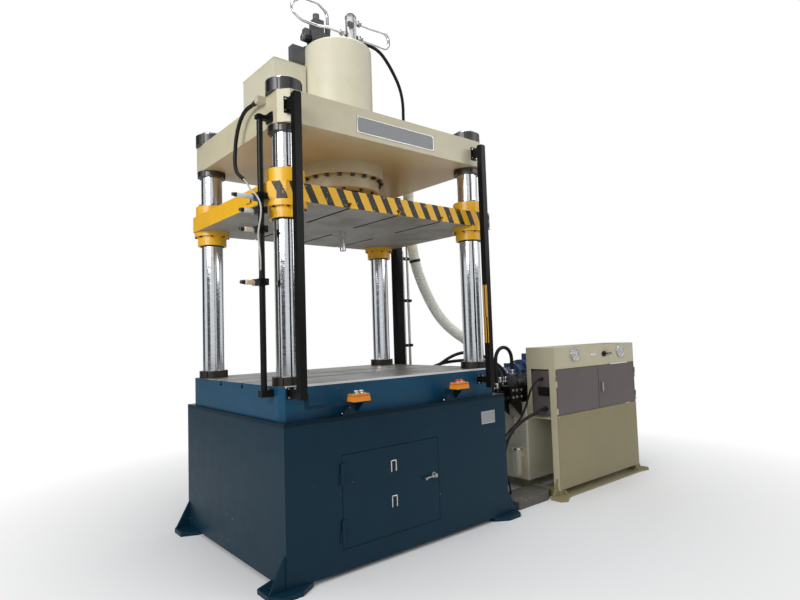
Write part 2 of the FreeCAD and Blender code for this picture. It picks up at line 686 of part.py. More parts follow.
def prefill_tank():
    """The round oil tank over the cylinder, with a rolled top edge and two side ports."""
    r, w, e = TANK_DIAMETER / 2, TANK_WALL, TANK_EDGE
    bend = e * (1 - math.sqrt(0.5))
    top = TANK_TOP
    edges = [
        Part.LineSegment(V(r - w, 0, CROWN_TOP), V(r, 0, CROWN_TOP)).toShape(),
        Part.LineSegment(V(r, 0, CROWN_TOP), V(r, 0, top - e)).toShape(),
        Part.Arc(V(r, 0, top - e), V(r - bend, 0, top - bend), V(r - e, 0, top)).toShape(),
        Part.LineSegment(V(r - e, 0, top), V(0, 0, top)).toShape(),
        Part.LineSegment(V(0, 0, top), V(0, 0, top - w)).toShape(),
        Part.LineSegment(V(0, 0, top - w), V(r - e, 0, top - w)).toShape(),
        Part.LineSegment(V(r - e, 0, top - w), V(r - w, 0, top - e)).toShape(),
        Part.LineSegment(V(r - w, 0, top - e), V(r - w, 0, CROWN_TOP)).toShape(),
    ]
    shell = Part.Face(Part.Wire(edges)).revolve(V(0, 0, 0), UP, 360)
    x, y, z = r + TANK_PORT_REACH, TANK_PORT_Y, CROWN_TOP + TANK_PORT_RISE
    neck = rod(HOSE_DIAMETER + 14, (r - w - 4, y, z), (x, y, z))
    port = rod(34, (r - w - 4, -70, CROWN_TOP + 40), (r + 26, -70, CROWN_TOP + 40))
    hollow = post(TANK_DIAMETER - 2 * TANK_WALL, 0, 0, CROWN_TOP, TANK_TOP - TANK_EDGE)
    return shell.fuse([neck.cut(hollow), port.cut(hollow)])


def top_box():
    """The folded steel box on the crown beside the tank, with a lid that stands proud."""
    x1 = -TANK_DIAMETER / 2 - TOP_BOX_GAP
    x0 = x1 - TOP_BOX_WIDTH
    y0 = 30.0
    y1 = y0 + TOP_BOX_DEPTH
    z1 = CROWN_TOP + TOP_BOX_HEIGHT
    body = block(x0, x1, y0, y1, CROWN_TOP, z1 - 3)
    lid = block(x0 - 3, x1 + 3, y0 - 3, y1 + 3, z1 - 3, z1)
    return body.fuse(lid)


def pilot_valves():
    """The pilot valve stack on the tank, the ported column that its pipes run to, and a junction box."""
    x, y, z = -125.0, 70.0, TANK_TOP
    s = VALVE_PLATE_SIZE / 2
    w = VALVE_WIDTH / 2
    top = z + VALVE_PLATE_THICKNESS
    base = block(x - s, x + s, y - s, y + s, z, top)
    lower = block(x - w - 10, x + w + 18, y - w, y + w, top, top + 100)
    upper = block(x - w + 6, x + w - 8, y - w + 8, y + w - 8, top + 100, top + 190)
    coil = rod(56, (x - w - 74, y, top + 42), (x - w - 10, y, top + 42))
    cap = rod(46, (x - 4, y, top + 190), (x - 4, y, top + 236))
    plug = block(x - w - 62, x - w - 24, y - 20, y + 20, top + 62, top + 104)
    riser = post(38, LEFT_LOOP[0][0], LEFT_LOOP[0][1], z, LEFT_LOOP[0][2])
    stack = base.fuse([lower, upper, coil, cap, plug, riser])
    cx, cy = (LEFT_LOOP[-1][0] + RIGHT_LOOP[0][0]) / 2, 0.0
    head_level = RIGHT_LOOP[0][2]
    foot_ring = post(120, cx, cy, z, z + 24)
    body = post(76, cx, cy, z + 24, head_level + 24)
    head = post(54, cx, cy, head_level + 24, head_level + 38)
    fitting = foot_ring.fuse([body, head])
    for end in (LEFT_LOOP[-1], RIGHT_LOOP[0], RIGHT_LOOP[-1]):
        fitting = fitting.fuse(rod(34, (cx, end[1], end[2]), end))
    start = V(cx + PILOT_PORT_OUT, cy + PILOT_PORT_OUT, z + PILOT_PORT_RISE)
    heading = V(1, 1, 0).normalize()
    fitting = fitting.fuse(rod(PILOT_HOSE_DIAMETER + 10, start - heading * 50, start))
    junction = block(-318, -TANK_DIAMETER / 2 + 30, 72, 132, TANK_TOP - 112, TANK_TOP - 4)
    junction = junction.cut(post(TANK_DIAMETER + 2 * FIXED_CLEARANCE, 0, 0, CROWN_TOP, TANK_TOP))
    return group(stack, fitting, junction)


def pilot_tubes():
    """Two bright oil pipes on the tank, each bent in a wide loop."""
    left = tube("left pilot tube", PILOT_TUBE_DIAMETER, LEFT_LOOP, 70)
    right = tube("right pilot tube", PILOT_TUBE_DIAMETER, RIGHT_LOOP, 60)
    return group(left, right)


# ---- moving platen ----
def platen():
    """The moving platen: slots from front to rear that stop short of the middle, and a trip dog."""
    slab = plate(PLATEN_WIDTH, PLATEN_DEPTH, PLATEN_CHAMFER, PLATEN_LOW, PLATEN_TOP)
    y = PLATEN_DEPTH / 2 + 1
    for number in (-1, 0, 1):
        middle = number * PLATEN_SLOT_PITCH
        for side in (-1, 1):
            near = side * PLATEN_SLOT_GAP
            outline = [(middle + across, near, z) for across, z in slot_profile(PLATEN_LOW, 1)]
            slab = slab.cut(prism(outline, (0, side * y - near, 0)))
    for sx, sy in CORNERS:
        slab = slab.cut(post(BUSH_DIAMETER + 2 * FIXED_CLEARANCE, sx * COLUMN_X, sy * COLUMN_Y,
                             PLATEN_LOW - 1, PLATEN_TOP + 1))
        slab = slab.cut(post(BUSH_FLANGE_DIAMETER + 2 * FIXED_CLEARANCE, sx * COLUMN_X, sy * COLUMN_Y,
                             PLATEN_LOW - 1, PLATEN_LOW + BUSH_SEAT_DEPTH))
    slab = slab.cut(post(KNOCKOUT_DIAMETER + 2 * FIXED_CLEARANCE, 0, 0, PLATEN_LOW - 1, PLATEN_TOP + 1))
    x = -PLATEN_WIDTH / 2
    dog_y = -PLATEN_DEPTH / 2 + 260
    dog = block(x - DOG_REACH, x, dog_y, dog_y + DOG_WIDTH,
                PLATEN_LOW + 25, PLATEN_LOW + 25 + DOG_HEIGHT)
    return slab.fuse(dog)


def platen_bush(sx, sy):
    """A flanged bush up through the platen and the collar bolted over it."""
    x, y = sx * COLUMN_X, sy * COLUMN_Y
    bore = COLUMN_DIAMETER + 2 * SLIDING_CLEARANCE
    sleeve = post(BUSH_DIAMETER, x, y, PLATEN_LOW - BUSH_DROP, PLATEN_TOP)
    seat = PLATEN_LOW + BUSH_SEAT_DEPTH
    flange = post(BUSH_FLANGE_DIAMETER, x, y, seat - BUSH_FLANGE_THICKNESS, seat)
    hole = post(bore, x, y, PLATEN_LOW - BUSH_DROP - 1, PLATEN_TOP + COLLAR_HEIGHT + 1)
    bush = sleeve.fuse(flange).cut(hole)
    collar = post(COLLAR_DIAMETER, x, y, PLATEN_TOP, PLATEN_TOP + COLLAR_HEIGHT)
    collar = soften(collar, 5, is_level(PLATEN_TOP + COLLAR_HEIGHT)).cut(hole)
    return [bush, collar]


def platen_bushes():
    """The four guide bushes and collars of the platen."""
    solids = []
    for sx, sy in CORNERS:
        solids += platen_bush(sx, sy)
    return group(*solids)


def ram():
    """The chromed ram, and the knock-out rod that hangs from it through the platen."""
    bar = post(RAM_DIAMETER, 0, 0, PLATEN_TOP, PLATEN_TOP + RAM_LENGTH)
    tail = post(KNOCKOUT_DIAMETER, 0, 0, PLATEN_LOW - KNOCKOUT_DROP, PLATEN_TOP)
    tail = soften(tail, 3, is_level(PLATEN_LOW - KNOCKOUT_DROP))
    return bar.fuse(tail)


# ---- guard posts and stations ----
def guard_post(place, low):
    """A square tube before the press, clipped to the crown's front, with a capped end."""
    x, y = place
    half = POST_SIZE / 2
    bar = block(x - half, x + half, y - half, y + half, low, POST_TOP - 4)
    cap = block(x - half + 2, x + half - 2, y - half + 2, y + half - 2, POST_TOP - 4, POST_TOP)
    clip = block(x - 14, x + 14, y + half, -CROWN_DEPTH / 2, CROWN_LOW + 50, CROWN_LOW + 110)
    pad = block(x - 24, x + 24, -CROWN_DEPTH / 2 - 6, -CROWN_DEPTH / 2, CROWN_LOW + 36, CROWN_LOW + 124)
    return bar.fuse([cap, clip, pad])


def post_bracket(place, low):
    """The clip that holds a guard post's foot to the bed's front."""
    x, y = place
    half = POST_SIZE / 2
    arm = block(x - 14, x + 14, y + half, -BED_DEPTH / 2, low, low + POST_BRACKET_HEIGHT)
    pad = block(x - 26, x + 26, -BED_DEPTH / 2 - 6, -BED_DEPTH / 2, low - 10, low + POST_BRACKET_HEIGHT + 10)
    return arm.fuse(pad)


def guard_post_left():
    """The left post, clipped to the bed and to the crown."""
    return guard_post(POST_LEFT_PLACE, POST_LEFT_LOW).fuse(post_bracket(POST_LEFT_PLACE, POST_LEFT_LOW + 8))


def guard_post_right():
    """The right post with the light guard: a lens on its front left corner and a sensor on its right."""
    x, y = POST_RIGHT_PLACE
    half = POST_SIZE / 2
    bracket = post_bracket(POST_RIGHT_PLACE, POST_RIGHT_LOW + 30)
    near, far = y - half, y - half + LENS_DEPTH
    lens = block(x - half - 7, x - half, near, far, LENS_LOW, LENS_LOW + LENS_HEIGHT)
    strip = block(x - half - 14, x - half - 7, near + 4, far - 4, LENS_LOW, LENS_LOW + 170)
    sensor = block(x + half, x + half + 20, y - 15, y + 15, SENSOR_LOW, SENSOR_LOW + SENSOR_HEIGHT)
    return guard_post(POST_RIGHT_PLACE, POST_RIGHT_LOW).fuse([bracket, lens, strip, sensor])


def station_bracket(centre):
    """A plate that stands on the ledge and reaches forward under a push-button box."""
    x = centre
    half = STATION_PLATE / 2
    shelf_low = STATION_BASE - 5
    stand = block(x - half, x + half, FRONT + 6, FRONT + 11, BED_LOW, shelf_low)
    sole = block(x - half, x + half, FRONT + 6, FRONT + 46, BED_LOW, BED_LOW + 6)
    shelf = block(x - half, x + half, STATION_Y - 30, FRONT + 11, shelf_low, STATION_BASE)
    solids = [sole, shelf]
    for side in (-1, 1):
        edge = x + side * (half - 5)
        low = BED_LOW + 12
        web = [(FRONT + 6, low), (FRONT + 6, shelf_low), (STATION_Y + 10, shelf_low)]
        solids.append(prism([(edge - 5, py, pz) for py, pz in web], (10, 0, 0)))
    return stand.fuse(solids)


def station_brackets():
    """Both push-button brackets; the left one has a bar to its guard post."""
    left = station_bracket(-STATION_INSET_LEFT)
    post_face = POST_LEFT_PLACE[0] + POST_SIZE / 2
    y = POST_LEFT_PLACE[1]
    shelf_edge = -STATION_INSET_LEFT - STATION_PLATE / 2
    arm = block(post_face, shelf_edge, y - 10, y + 10, STATION_BASE - 16, STATION_BASE)
    lug = block(post_face, post_face + 8, y - 16, y + 16, STATION_BASE - 16, POST_LEFT_LOW + 30)
    return group(left.fuse([arm, lug]), station_bracket(STATION_INSET_RIGHT))


def button_box(centre):
    """A push-button box: sloping sides, a bored seat for the moving cap and one fixed cap."""
    x, y = centre, STATION_Y
    lx, ly, t = STATION_LENGTH / 2, STATION_DEPTH / 2, STATION_TAPER
    z0, z1 = STATION_BASE, STATION_BASE + STATION_HEIGHT
    sides = ((-1, -1), (1, -1), (1, 1), (-1, 1), (-1, -1))
    low = Part.makePolygon([V(x + sx * lx, y + sy * ly, z0) for sx, sy in sides])
    high = Part.makePolygon([V(x + sx * (lx - t), y + sy * (ly - t), z1) for sx, sy in sides])
    body = Part.makeLoft([low, high], True, True)
    moving, fixed = button_places(centre)
    body = body.fuse([post(BUTTON_COLLAR, px, y, z1, z1 + 6) for px in (moving, fixed)])
    well = post(BUTTON_DIAMETER + 2 * SLIDING_CLEARANCE, moving, y, z1 - BUTTON_TRAVEL - 12, z1 + 7)
    cap = post(BUTTON_DIAMETER, fixed, y, z1 + 6, z1 + BUTTON_STAND)
    return body.cut(well).fuse(soften(cap, 3, is_level(z1 + BUTTON_STAND)))


def button_places(centre):
    """Where the moving cap and the fixed cap stand on a box."""
    return centre - BUTTON_SPACING / 2, centre + BUTTON_SPACING / 2


def push_button(centre):
    """The moving cap of a push button, with a bevelled edge."""
    x, y = button_places(centre)[0], STATION_Y
    top = STATION_BASE + STATION_HEIGHT
    cap = post(BUTTON_DIAMETER, x, y, top - 8, top + BUTTON_STAND)
    return soften(cap, 3, is_level(top + BUTTON_STAND))


# ---- limit switches ----
def rod_place():
    """The axis of the limit-switch rod at the left side."""
    return -BED_WIDTH / 2 - ROD_OFFSET, -COLUMN_Y


def limit_rod():
    """The upright rod for the limit switches, its brackets and its switch clamps."""
    x, y = rod_place()
    bar = post(ROD_DIAMETER, x, y, ROD_LOW, ROD_TOP)
    half = ROD_DIAMETER / 2
    foot_plate = block(x - half - 6, -BED_WIDTH / 2, y - 22, y + 22, ROD_LOW, ROD_LOW + ROD_CLIP)
    head_plate = block(x - half - 4, -CROWN_WIDTH / 2, y - 18, y + 18, ROD_TOP - 26, ROD_TOP - 4)
    tab = block(-CROWN_WIDTH / 2 - 10, -CROWN_WIDTH / 2, y - 18, y + 50, ROD_TOP - 26, ROD_TOP + 26)
    pieces = [foot_plate, head_plate, tab]
    for z in SWITCH_HEIGHTS:
        clamp = block(x - 26, x + 24, y - 30, y + SWITCH_SIDE + 18, z - 17, z + 17)
        side = y + SWITCH_SIDE
        pieces.append(clamp.cut(rod(SWITCH_DIAMETER + 2 * FIXED_CLEARANCE, (x - 27, side, z), (x + 25, side, z))))
        pieces.append(rod(14, (x, y - 30, z), (x, y - 52, z)))
    return bar.fuse(pieces)


def limit_switches():
    """The round proximity switches, each level in its clamp with its cable end to the left."""
    x, y = rod_place()
    side = y + SWITCH_SIDE
    switches = []
    for z, reach in zip(SWITCH_HEIGHTS, SWITCH_REACHES):
        body = rod(SWITCH_DIAMETER, (x + 22, side, z), (x - reach + 22, side, z))
        nose = rod(SWITCH_DIAMETER - 6, (x - reach + 22, side, z), (x - reach, side, z))
        nut = rod(SWITCH_DIAMETER + 10, (x - 26, side, z), (x - 36, side, z))
        switches.append(body.fuse([nose, nut]))
    return group(*switches)


def service_post():
    """The square post at the right rear, with brackets and clamps for the two pipes."""
    half = SERVICE_POST_SIZE / 2
    x = INNER_PIPE_X - 28 - half
    bar = block(x - half, x + half, PIPE_Y - half, PIPE_Y + half, SERVICE_POST_LOW, SERVICE_POST_TOP)
    arm_low = SERVICE_POST_LOW + 10
    low = block(BED_WIDTH / 2, x - half, PIPE_Y - 25, PIPE_Y + 25, arm_low, arm_low + 50)
    head = block(CROWN_WIDTH / 2, x - half, PIPE_Y - 25, PIPE_Y + 25, CROWN_LOW + 4, CROWN_LOW + 32)
    pieces = [low, head]
    for z in (1150.0, 1535.0, 1900.0):
        clamp = block(x + half, OUTER_PIPE_X + 26, PIPE_Y - 14, PIPE_Y + 14, z - 12, z + 12)
        for px in (INNER_PIPE_X, OUTER_PIPE_X):
            clamp = clamp.cut(post(PIPE_DIAMETER + 2 * FIXED_CLEARANCE, px, PIPE_Y, z - 20, z + 20))
        pieces.append(clamp)
    return bar.fuse(pieces)


def service_pipes():
    """Two rigid pipes clamped to the service post, bent into the cabinet's side at their feet."""
    side = CABINET_WIDTH / 2
    inner = [(side, PIPE_Y, 700), (INNER_PIPE_X, PIPE_Y, 700), (INNER_PIPE_X, PIPE_Y, 1975)]
    outer = [(side, PIPE_Y, 620), (OUTER_PIPE_X, PIPE_Y, 620), (OUTER_PIPE_X, PIPE_Y, PIPE_TOP)]
    pipes = [tube("inner pipe", PIPE_DIAMETER, inner, PIPE_BEND),
             tube("outer pipe", PIPE_DIAMETER, outer, PIPE_BEND)]
    nut = post(PIPE_DIAMETER + 14, OUTER_PIPE_X, PIPE_Y, PIPE_TOP - 30, PIPE_TOP + 40)
    pipes[1] = pipes[1].fuse(nut)
    flanges = [rod(44, (side, PIPE_Y, z), (side + 10, PIPE_Y, z)) for z in (620, 700)]
    elbow = block(INNER_PIPE_X - 28, INNER_PIPE_X + 18, PIPE_Y - 18, PIPE_Y + 18, 1960, 2000)
    return group(pipes[0].fuse([flanges[1], elbow]), pipes[1].fuse(flanges[0]))


def table_ports():
    """The two hose fittings on the bed's right side."""
    x = BED_WIDTH / 2
    fittings = []
    z = TABLE_HEIGHT - BED_PORT_DROP
    for route in (TABLE_HOSE_UPPER, TABLE_HOSE_LOWER):
        y = route[0][1]
        fittings.append(rod(TABLE_HOSE_DIAMETER + 12, (x, y, z), (x + BED_PORT_REACH, y, z)))
    return fittings


# ---- door of the base cabinet ----
def base_door():
    """The door: a flush leaf, two hinge halves at the left and two wire pulls at the middle."""
    y = FRONT
    g = DOOR_GAP
    leaf = block(DOOR_LEFT + g, DOOR_RIGHT - g, y, y + DOOR_THICKNESS, DOOR_LOW + g, DOOR_TOP - g)
    solids = [hinge_eye(DOOR_LEFT - 3, y - HINGE_RADIUS, z, 1, HINGE_RADIUS, HINGE_LENGTH)
              for z in door_hinge_heights()]
    middle = (DOOR_LEFT + DOOR_RIGHT) / 2
    for z in pull_heights():
        x0, x1 = middle - STAPLE_WIDTH / 2, middle + STAPLE_WIDTH / 2
        w = STAPLE_WIRE
        level = y - w / 2 + 1
        for x in (x0, x1):
            solids.append(rod(w, (x, level, z - STAPLE_HEIGHT / 2), (x, level, z + STAPLE_HEIGHT / 2)))
        solids.append(rod(w, (x0, level, z + STAPLE_HEIGHT / 2), (x1, level, z + STAPLE_HEIGHT / 2)))
    boss_x, boss_z = latch_place()
    solids.append(rod(34, (boss_x, y - 5, boss_z), (boss_x, y, boss_z)))
    door = leaf.fuse(solids)
    return door.cut(rod(14 + 2 * SLIDING_CLEARANCE, (boss_x, y - 6, boss_z), (boss_x, y + 20, boss_z)))


def pull_heights():
    """Where the two wire pulls lie on the door."""
    middle = (DOOR_LOW + DOOR_TOP) / 2 + 33
    return (middle - 98, middle + 98)


def latch_place():
    """The axis of the door latch."""
    return DOOR_RIGHT - 42, (DOOR_LOW + DOOR_TOP) / 2 + 25


def door_latch():
    """The latch: a spindle through the door, a lever outside and a cam inside."""
    x, z = latch_place()
    y = FRONT
    spindle = rod(14, (x, y - 16, z), (x, y + DOOR_THICKNESS + 14, z))
    hub = rod(24, (x, y - 24, z), (x, y - 8, z))
    lever = rod(10, (x, y - 16, z), (x - LATCH_LENGTH, y - 16, z - 6))
    knob = rod(LATCH_KNOB, (x - LATCH_LENGTH, y - 24, z - 6), (x - LATCH_LENGTH, y - 8, z - 6))
    cam = block(x - 11, x + 11, y + DOOR_THICKNESS + 7, y + DOOR_THICKNESS + 12, z - 68, z + 11)
    return spindle.fuse([hub, lever, knob, cam])


# ---- plates ----
def name_plate():
    """The bare plate on the crown's front."""
    y = -CROWN_DEPTH / 2
    z = (CROWN_LOW + CROWN_TOP) / 2 - 10
    half = NAME_PLATE_WIDTH / 2
    return block(-half - 10, half - 10, y - PLATE_THICKNESS, y,
                 z - NAME_PLATE_HEIGHT / 2, z + NAME_PLATE_HEIGHT / 2)


def label_plate():
    """The small bare plate on the cabinet's front."""
    x, z = CABINET_WIDTH / 2 - 172, BED_LOW - 138
    half = LABEL_PLATE_WIDTH / 2
    return block(x - half, x + half, FRONT - PLATE_THICKNESS, FRONT,
                 z - LABEL_PLATE_HEIGHT / 2, z + LABEL_PLATE_HEIGHT / 2)


# ---- power unit ----
def unit_skid():
    """The power unit's sole plates: a front strip with two slanted feet and gussets, and a rear strip."""
    x0, x1, y0 = UNIT_LEFT, UNIT_RIGHT, UNIT_FRONT
    h = SKID_HEIGHT
    reach = 95.0
    outline = [
        (x0 - reach, y0 - 70), (x0 - reach + 45, y0 - 95), (x0 + 60, y0 - 40), (x1 - 60, y0 - 40),
        (x1 + reach - 45, y0 - 60), (x1 + reach, y0 - 30), (x1 + reach, y0 + 20), (x1 + 10, y0 + 60),
        (x1 + 10, CONSOLE_BACK), (x0 - 10, CONSOLE_BACK), (x0 - 10, y0 + 60), (x0 - reach, y0 + 20),
    ]
    front = prism([(px, py, 0) for px, py in outline], (0, 0, h))
    solids = []
    for x, out in ((x0, -1), (x1, 1)):
        left, right = sorted((x, x - 60 * out))
        solids.append(block(left, right, y0 + 6, CONSOLE_BACK - 6, h, PANEL_LOW))
        web = [(x, y0 + 20, h), (x + out * (reach - 30), y0 + 20, h), (x, y0 + 20, h + 120)]
        solids.append(prism(web, (0, 10, 0)))
        brace = [(x - out * 60, y0 - 36, h), (x - out * 60, y0 + 6, h), (x - out * 60, y0 + 6, PANEL_LOW)]
        solids.append(prism(brace, (out * 10, 0, 0)))
    legs = []
    for x in (x0 + 40, x1 - 120):
        for y in (OIL_TANK_FRONT + 30, OIL_TANK_BACK - 110):
            legs.append(block(x, x + 80, y, y + 80, 0, OIL_TANK_LOW))
    return group(front, *solids, *legs)


def unit_tank():
    """The oil tank: a closed box under a lid that stands out all round, with a level glass frame."""
    lid_low = OIL_TANK_TOP - OIL_TANK_LID
    body = block(UNIT_LEFT, UNIT_RIGHT, OIL_TANK_FRONT, OIL_TANK_BACK, OIL_TANK_LOW, lid_low)
    body = body.makeFillet(12, [e for e in body.Edges if e.BoundBox.ZLength > 100])
    lid = block(UNIT_LEFT - 14, UNIT_RIGHT + 14, OIL_TANK_FRONT - 8, OIL_TANK_BACK + 14, lid_low, OIL_TANK_TOP)
    x, y, z = RETURN_HOSE[-1]
    collar = post(HOSE_DIAMETER + 40, x, y, OIL_TANK_TOP, OIL_TANK_TOP + 10)
    neck = post(HOSE_DIAMETER + 12, x, y, OIL_TANK_TOP + 10, z)
    glass = block(UNIT_LEFT - 10, UNIT_LEFT, OIL_TANK_FRONT + 110, OIL_TANK_FRONT + 142, 420, 560)
    cap = post(84, UNIT_RIGHT - 160, OIL_TANK_BACK - 150, OIL_TANK_TOP, OIL_TANK_TOP + 52)
    return body.fuse([lid, collar, neck, glass, cap])


def unit_console():
    """The console: a folded steel case on posts, open at its sides, with a gland plate inside."""
    x0, x1, y0, y1 = UNIT_LEFT, UNIT_RIGHT, UNIT_FRONT, CONSOLE_BACK
    w = CONSOLE_WALL
    top = CONSOLE_HEIGHT
    case = block(x0, x1, y0, y1, STRIP_LOW, top)
    inside = block(x0 + w, x1 - w, y0 + w, y1 - w, STRIP_LOW - 1, top - w)
    case = case.cut(inside)
    for place in GAUGE_PLACES:
        case = case.cut(rod(GAUGE_DIAMETER - 16, (x0 + place, y0 - 1, GAUGE_HEIGHT),
                            (x0 + place, y0 + w + 1, GAUGE_HEIGHT)))
    case = case.cut(rod(12 + 2 * SLIDING_CLEARANCE, (x0 + SELECTOR_PLACE, y0 - 1, SELECTOR_HEIGHT),
                        (x0 + SELECTOR_PLACE, y0 + w + 1, SELECTOR_HEIGHT)))
    lamp_x, lamp_z = x0 + LAMP_PLACE, SELECTOR_HEIGHT + 1
    lamp = block(lamp_x - 34, lamp_x + 34, y0 - 9, y0, lamp_z - 10, lamp_z + 10)
    pieces = [lamp]
    for x, inner in ((x0, x0 + w), (x1 - w, x1)):
        pieces.append(block(x, inner, y0, y0 + CONSOLE_POST_FRONT, PANEL_LOW, STRIP_LOW))
        pieces.append(block(x, inner, y1 - CONSOLE_POST_REAR, y1, SHELF_HEIGHT, STRIP_LOW))
    pieces.append(block(x0, x1, y1 - w, y1, SHELF_HEIGHT - 15, STRIP_LOW))
    pieces.append(block(x0, x1, y0 + w, y1, SHELF_HEIGHT - 15, SHELF_HEIGHT - 9))
    pieces.append(block(x0, x1, y0 + w, y0 + CONSOLE_POST_FRONT, PANEL_LOW, PANEL_LOW + 6))
    for x in (x0 + 110, x1 - 150):
        pieces.append(block(x, x + 40, y1, OIL_TANK_FRONT, SHELF_HEIGHT - 15, SHELF_HEIGHT + 45))
    for side in (-1, 1):
        for z in unit_hinge_heights():
            x, y = unit_hinge_x(side), y0 - UNIT_HINGE_RADIUS - 0.3
            pieces.append(hinge_pin(x, y, z, side, UNIT_HINGE_RADIUS, 44))
            pieces.append(block(min(x, x + side * 5), max(x, x + side * 5), y0 - 2, y0, z - 44, z))
    case = case.fuse(pieces)
    gx = x0 + 40
    gland_plate = block(gx, gx + 3, y0 + CONSOLE_POST_FRONT + 4, y1 - w, SHELF_HEIGHT - 9, STRIP_LOW - 14)
    glands = [block(gx - 20, gx, y0 + CONSOLE_POST_FRONT + 8, y0 + CONSOLE_POST_FRONT + 104, 745, 808)]
    for route, size in ((CONSOLE_CABLE, UNIT_CABLE_DIAMETER), (SUPPLY_CABLE, UNIT_CABLE_THICK_DIAMETER)):
        end_x, gy, gz = route[0]
        glands.append(rod(size + 16, (end_x, gy, gz), (gx, gy, gz)))
    return group(case, gland_plate.fuse(glands))


def unit_hinge_x(side):
    """The axis of one console door, close to the console's outer edge."""
    return UNIT_LEFT + 5 if side < 0 else UNIT_RIGHT - 5


def unit_hinge_heights():
    """Where the console's door hinges divide into their fixed and moving halves."""
    return (STRIP_LOW - 290, STRIP_LOW - 90)


def unit_panel():
    """The fixed lower panel of the console, turned in at its top and bottom."""
    x0, x1, y0 = UNIT_LEFT, UNIT_RIGHT, UNIT_FRONT
    top = SHELF_HEIGHT + 12
    sheet = block(x0, x1, y0 - 3, y0, PANEL_LOW + 4, top)
    lip = block(x0 + 8, x1 - 8, y0, y0 + CONSOLE_WALL - 0.3, SHELF_HEIGHT - 16, SHELF_HEIGHT - 12)
    return sheet.fuse(lip)


def leaf_span(side):
    """The left and right edges of one door leaf of the console."""
    middle = (UNIT_LEFT + UNIT_RIGHT) / 2
    g = PANEL_DOOR_GAP
    return (UNIT_LEFT + 10, middle - g / 2) if side < 0 else (middle + g / 2, UNIT_RIGHT - 10)


def unit_door(side):
    """One leaf of the console's door, hinged at its outer edge, with turned-in edges."""
    x0, x1 = leaf_span(side)
    z0, z1 = SHELF_HEIGHT + 12 + PANEL_DOOR_GAP, STRIP_LOW - PANEL_DOOR_GAP
    y = UNIT_FRONT
    sheet = block(x0, x1, y - 3, y - 0.3, z0, z1)
    rim = block(x0 + 14, x1 - 14, y - 0.3, y + 14, z0 + 8, z1 - 8)
    rim = rim.cut(block(x0 + 17, x1 - 17, y - 1, y + 15, z0 + 11, z1 - 11))
    eyes = [hinge_eye(unit_hinge_x(side), y - UNIT_HINGE_RADIUS - 0.3, z, -side, UNIT_HINGE_RADIUS, 44)
            for z in unit_hinge_heights()]
    leaf = sheet.fuse([rim] + eyes)
    if side > 0:
        lock_x, lock_z = lock_place()
        leaf = leaf.cut(rod(12 + 2 * SLIDING_CLEARANCE, (lock_x, y - 5, lock_z), (lock_x, y + 1, lock_z)))
    return leaf


def lock_place():
    """The axis of the handle on the right leaf."""
    return leaf_span(1)[0] + 42, 768.0


def unit_handle():
    """The upright swing handle of the console door, with its spindle and tongue."""
    x, z = lock_place()
    y = UNIT_FRONT
    spindle = rod(12, (x, y - 12, z), (x, y + 20, z))
    grip = block(x - 8, x + 8, y - 20, y - 5, z - 37, z + 37)
    grip = grip.makeFillet(3, [e for e in grip.Edges if e.BoundBox.ZLength > 50])
    tongue = block(x - 9, x + 9, y + 16, y + 20, z - 9, z + 58)
    return spindle.fuse([grip, tongue])


def selector():
    """The rotary switch on the instrument strip, with a long finger bar."""
    x, z = UNIT_LEFT + SELECTOR_PLACE, SELECTOR_HEIGHT
    y = UNIT_FRONT
    stem = rod(12, (x, y - 10, z), (x, y + 14, z))
    disc = rod(46, (x, y - 14, z), (x, y - 0.4, z))
    bar = block(x - 10, x + 92, y - 24, y - 14, z - 7, z + 7)
    return stem.fuse([disc, bar])


def gauges():
    """Two pressure gauges let into the instrument strip, each with a raised rim."""
    cases = []
    for place in GAUGE_PLACES:
        x, y, z = UNIT_LEFT + place, UNIT_FRONT, GAUGE_HEIGHT
        rim = rod(GAUGE_DIAMETER, (x, y - 14, z), (x, y, z))
        rim = rim.cut(rod(GAUGE_DIAMETER - 12, (x, y - 15, z), (x, y - 8, z)))
        barrel = rod(GAUGE_DIAMETER - 16.4, (x, y, z), (x, y + GAUGE_DEPTH, z))
        stem = rod(14, (x, y + GAUGE_DEPTH, z), (x, y + GAUGE_DEPTH + 26, z))
        cases.append(rim.fuse([barrel, stem]))
    return group(*cases)


def motor_axis():
    """The drive end of the motor's axis."""
    return UNIT_LEFT + MOTOR_X, MOTOR_Y, MOTOR_AXIS_HEIGHT


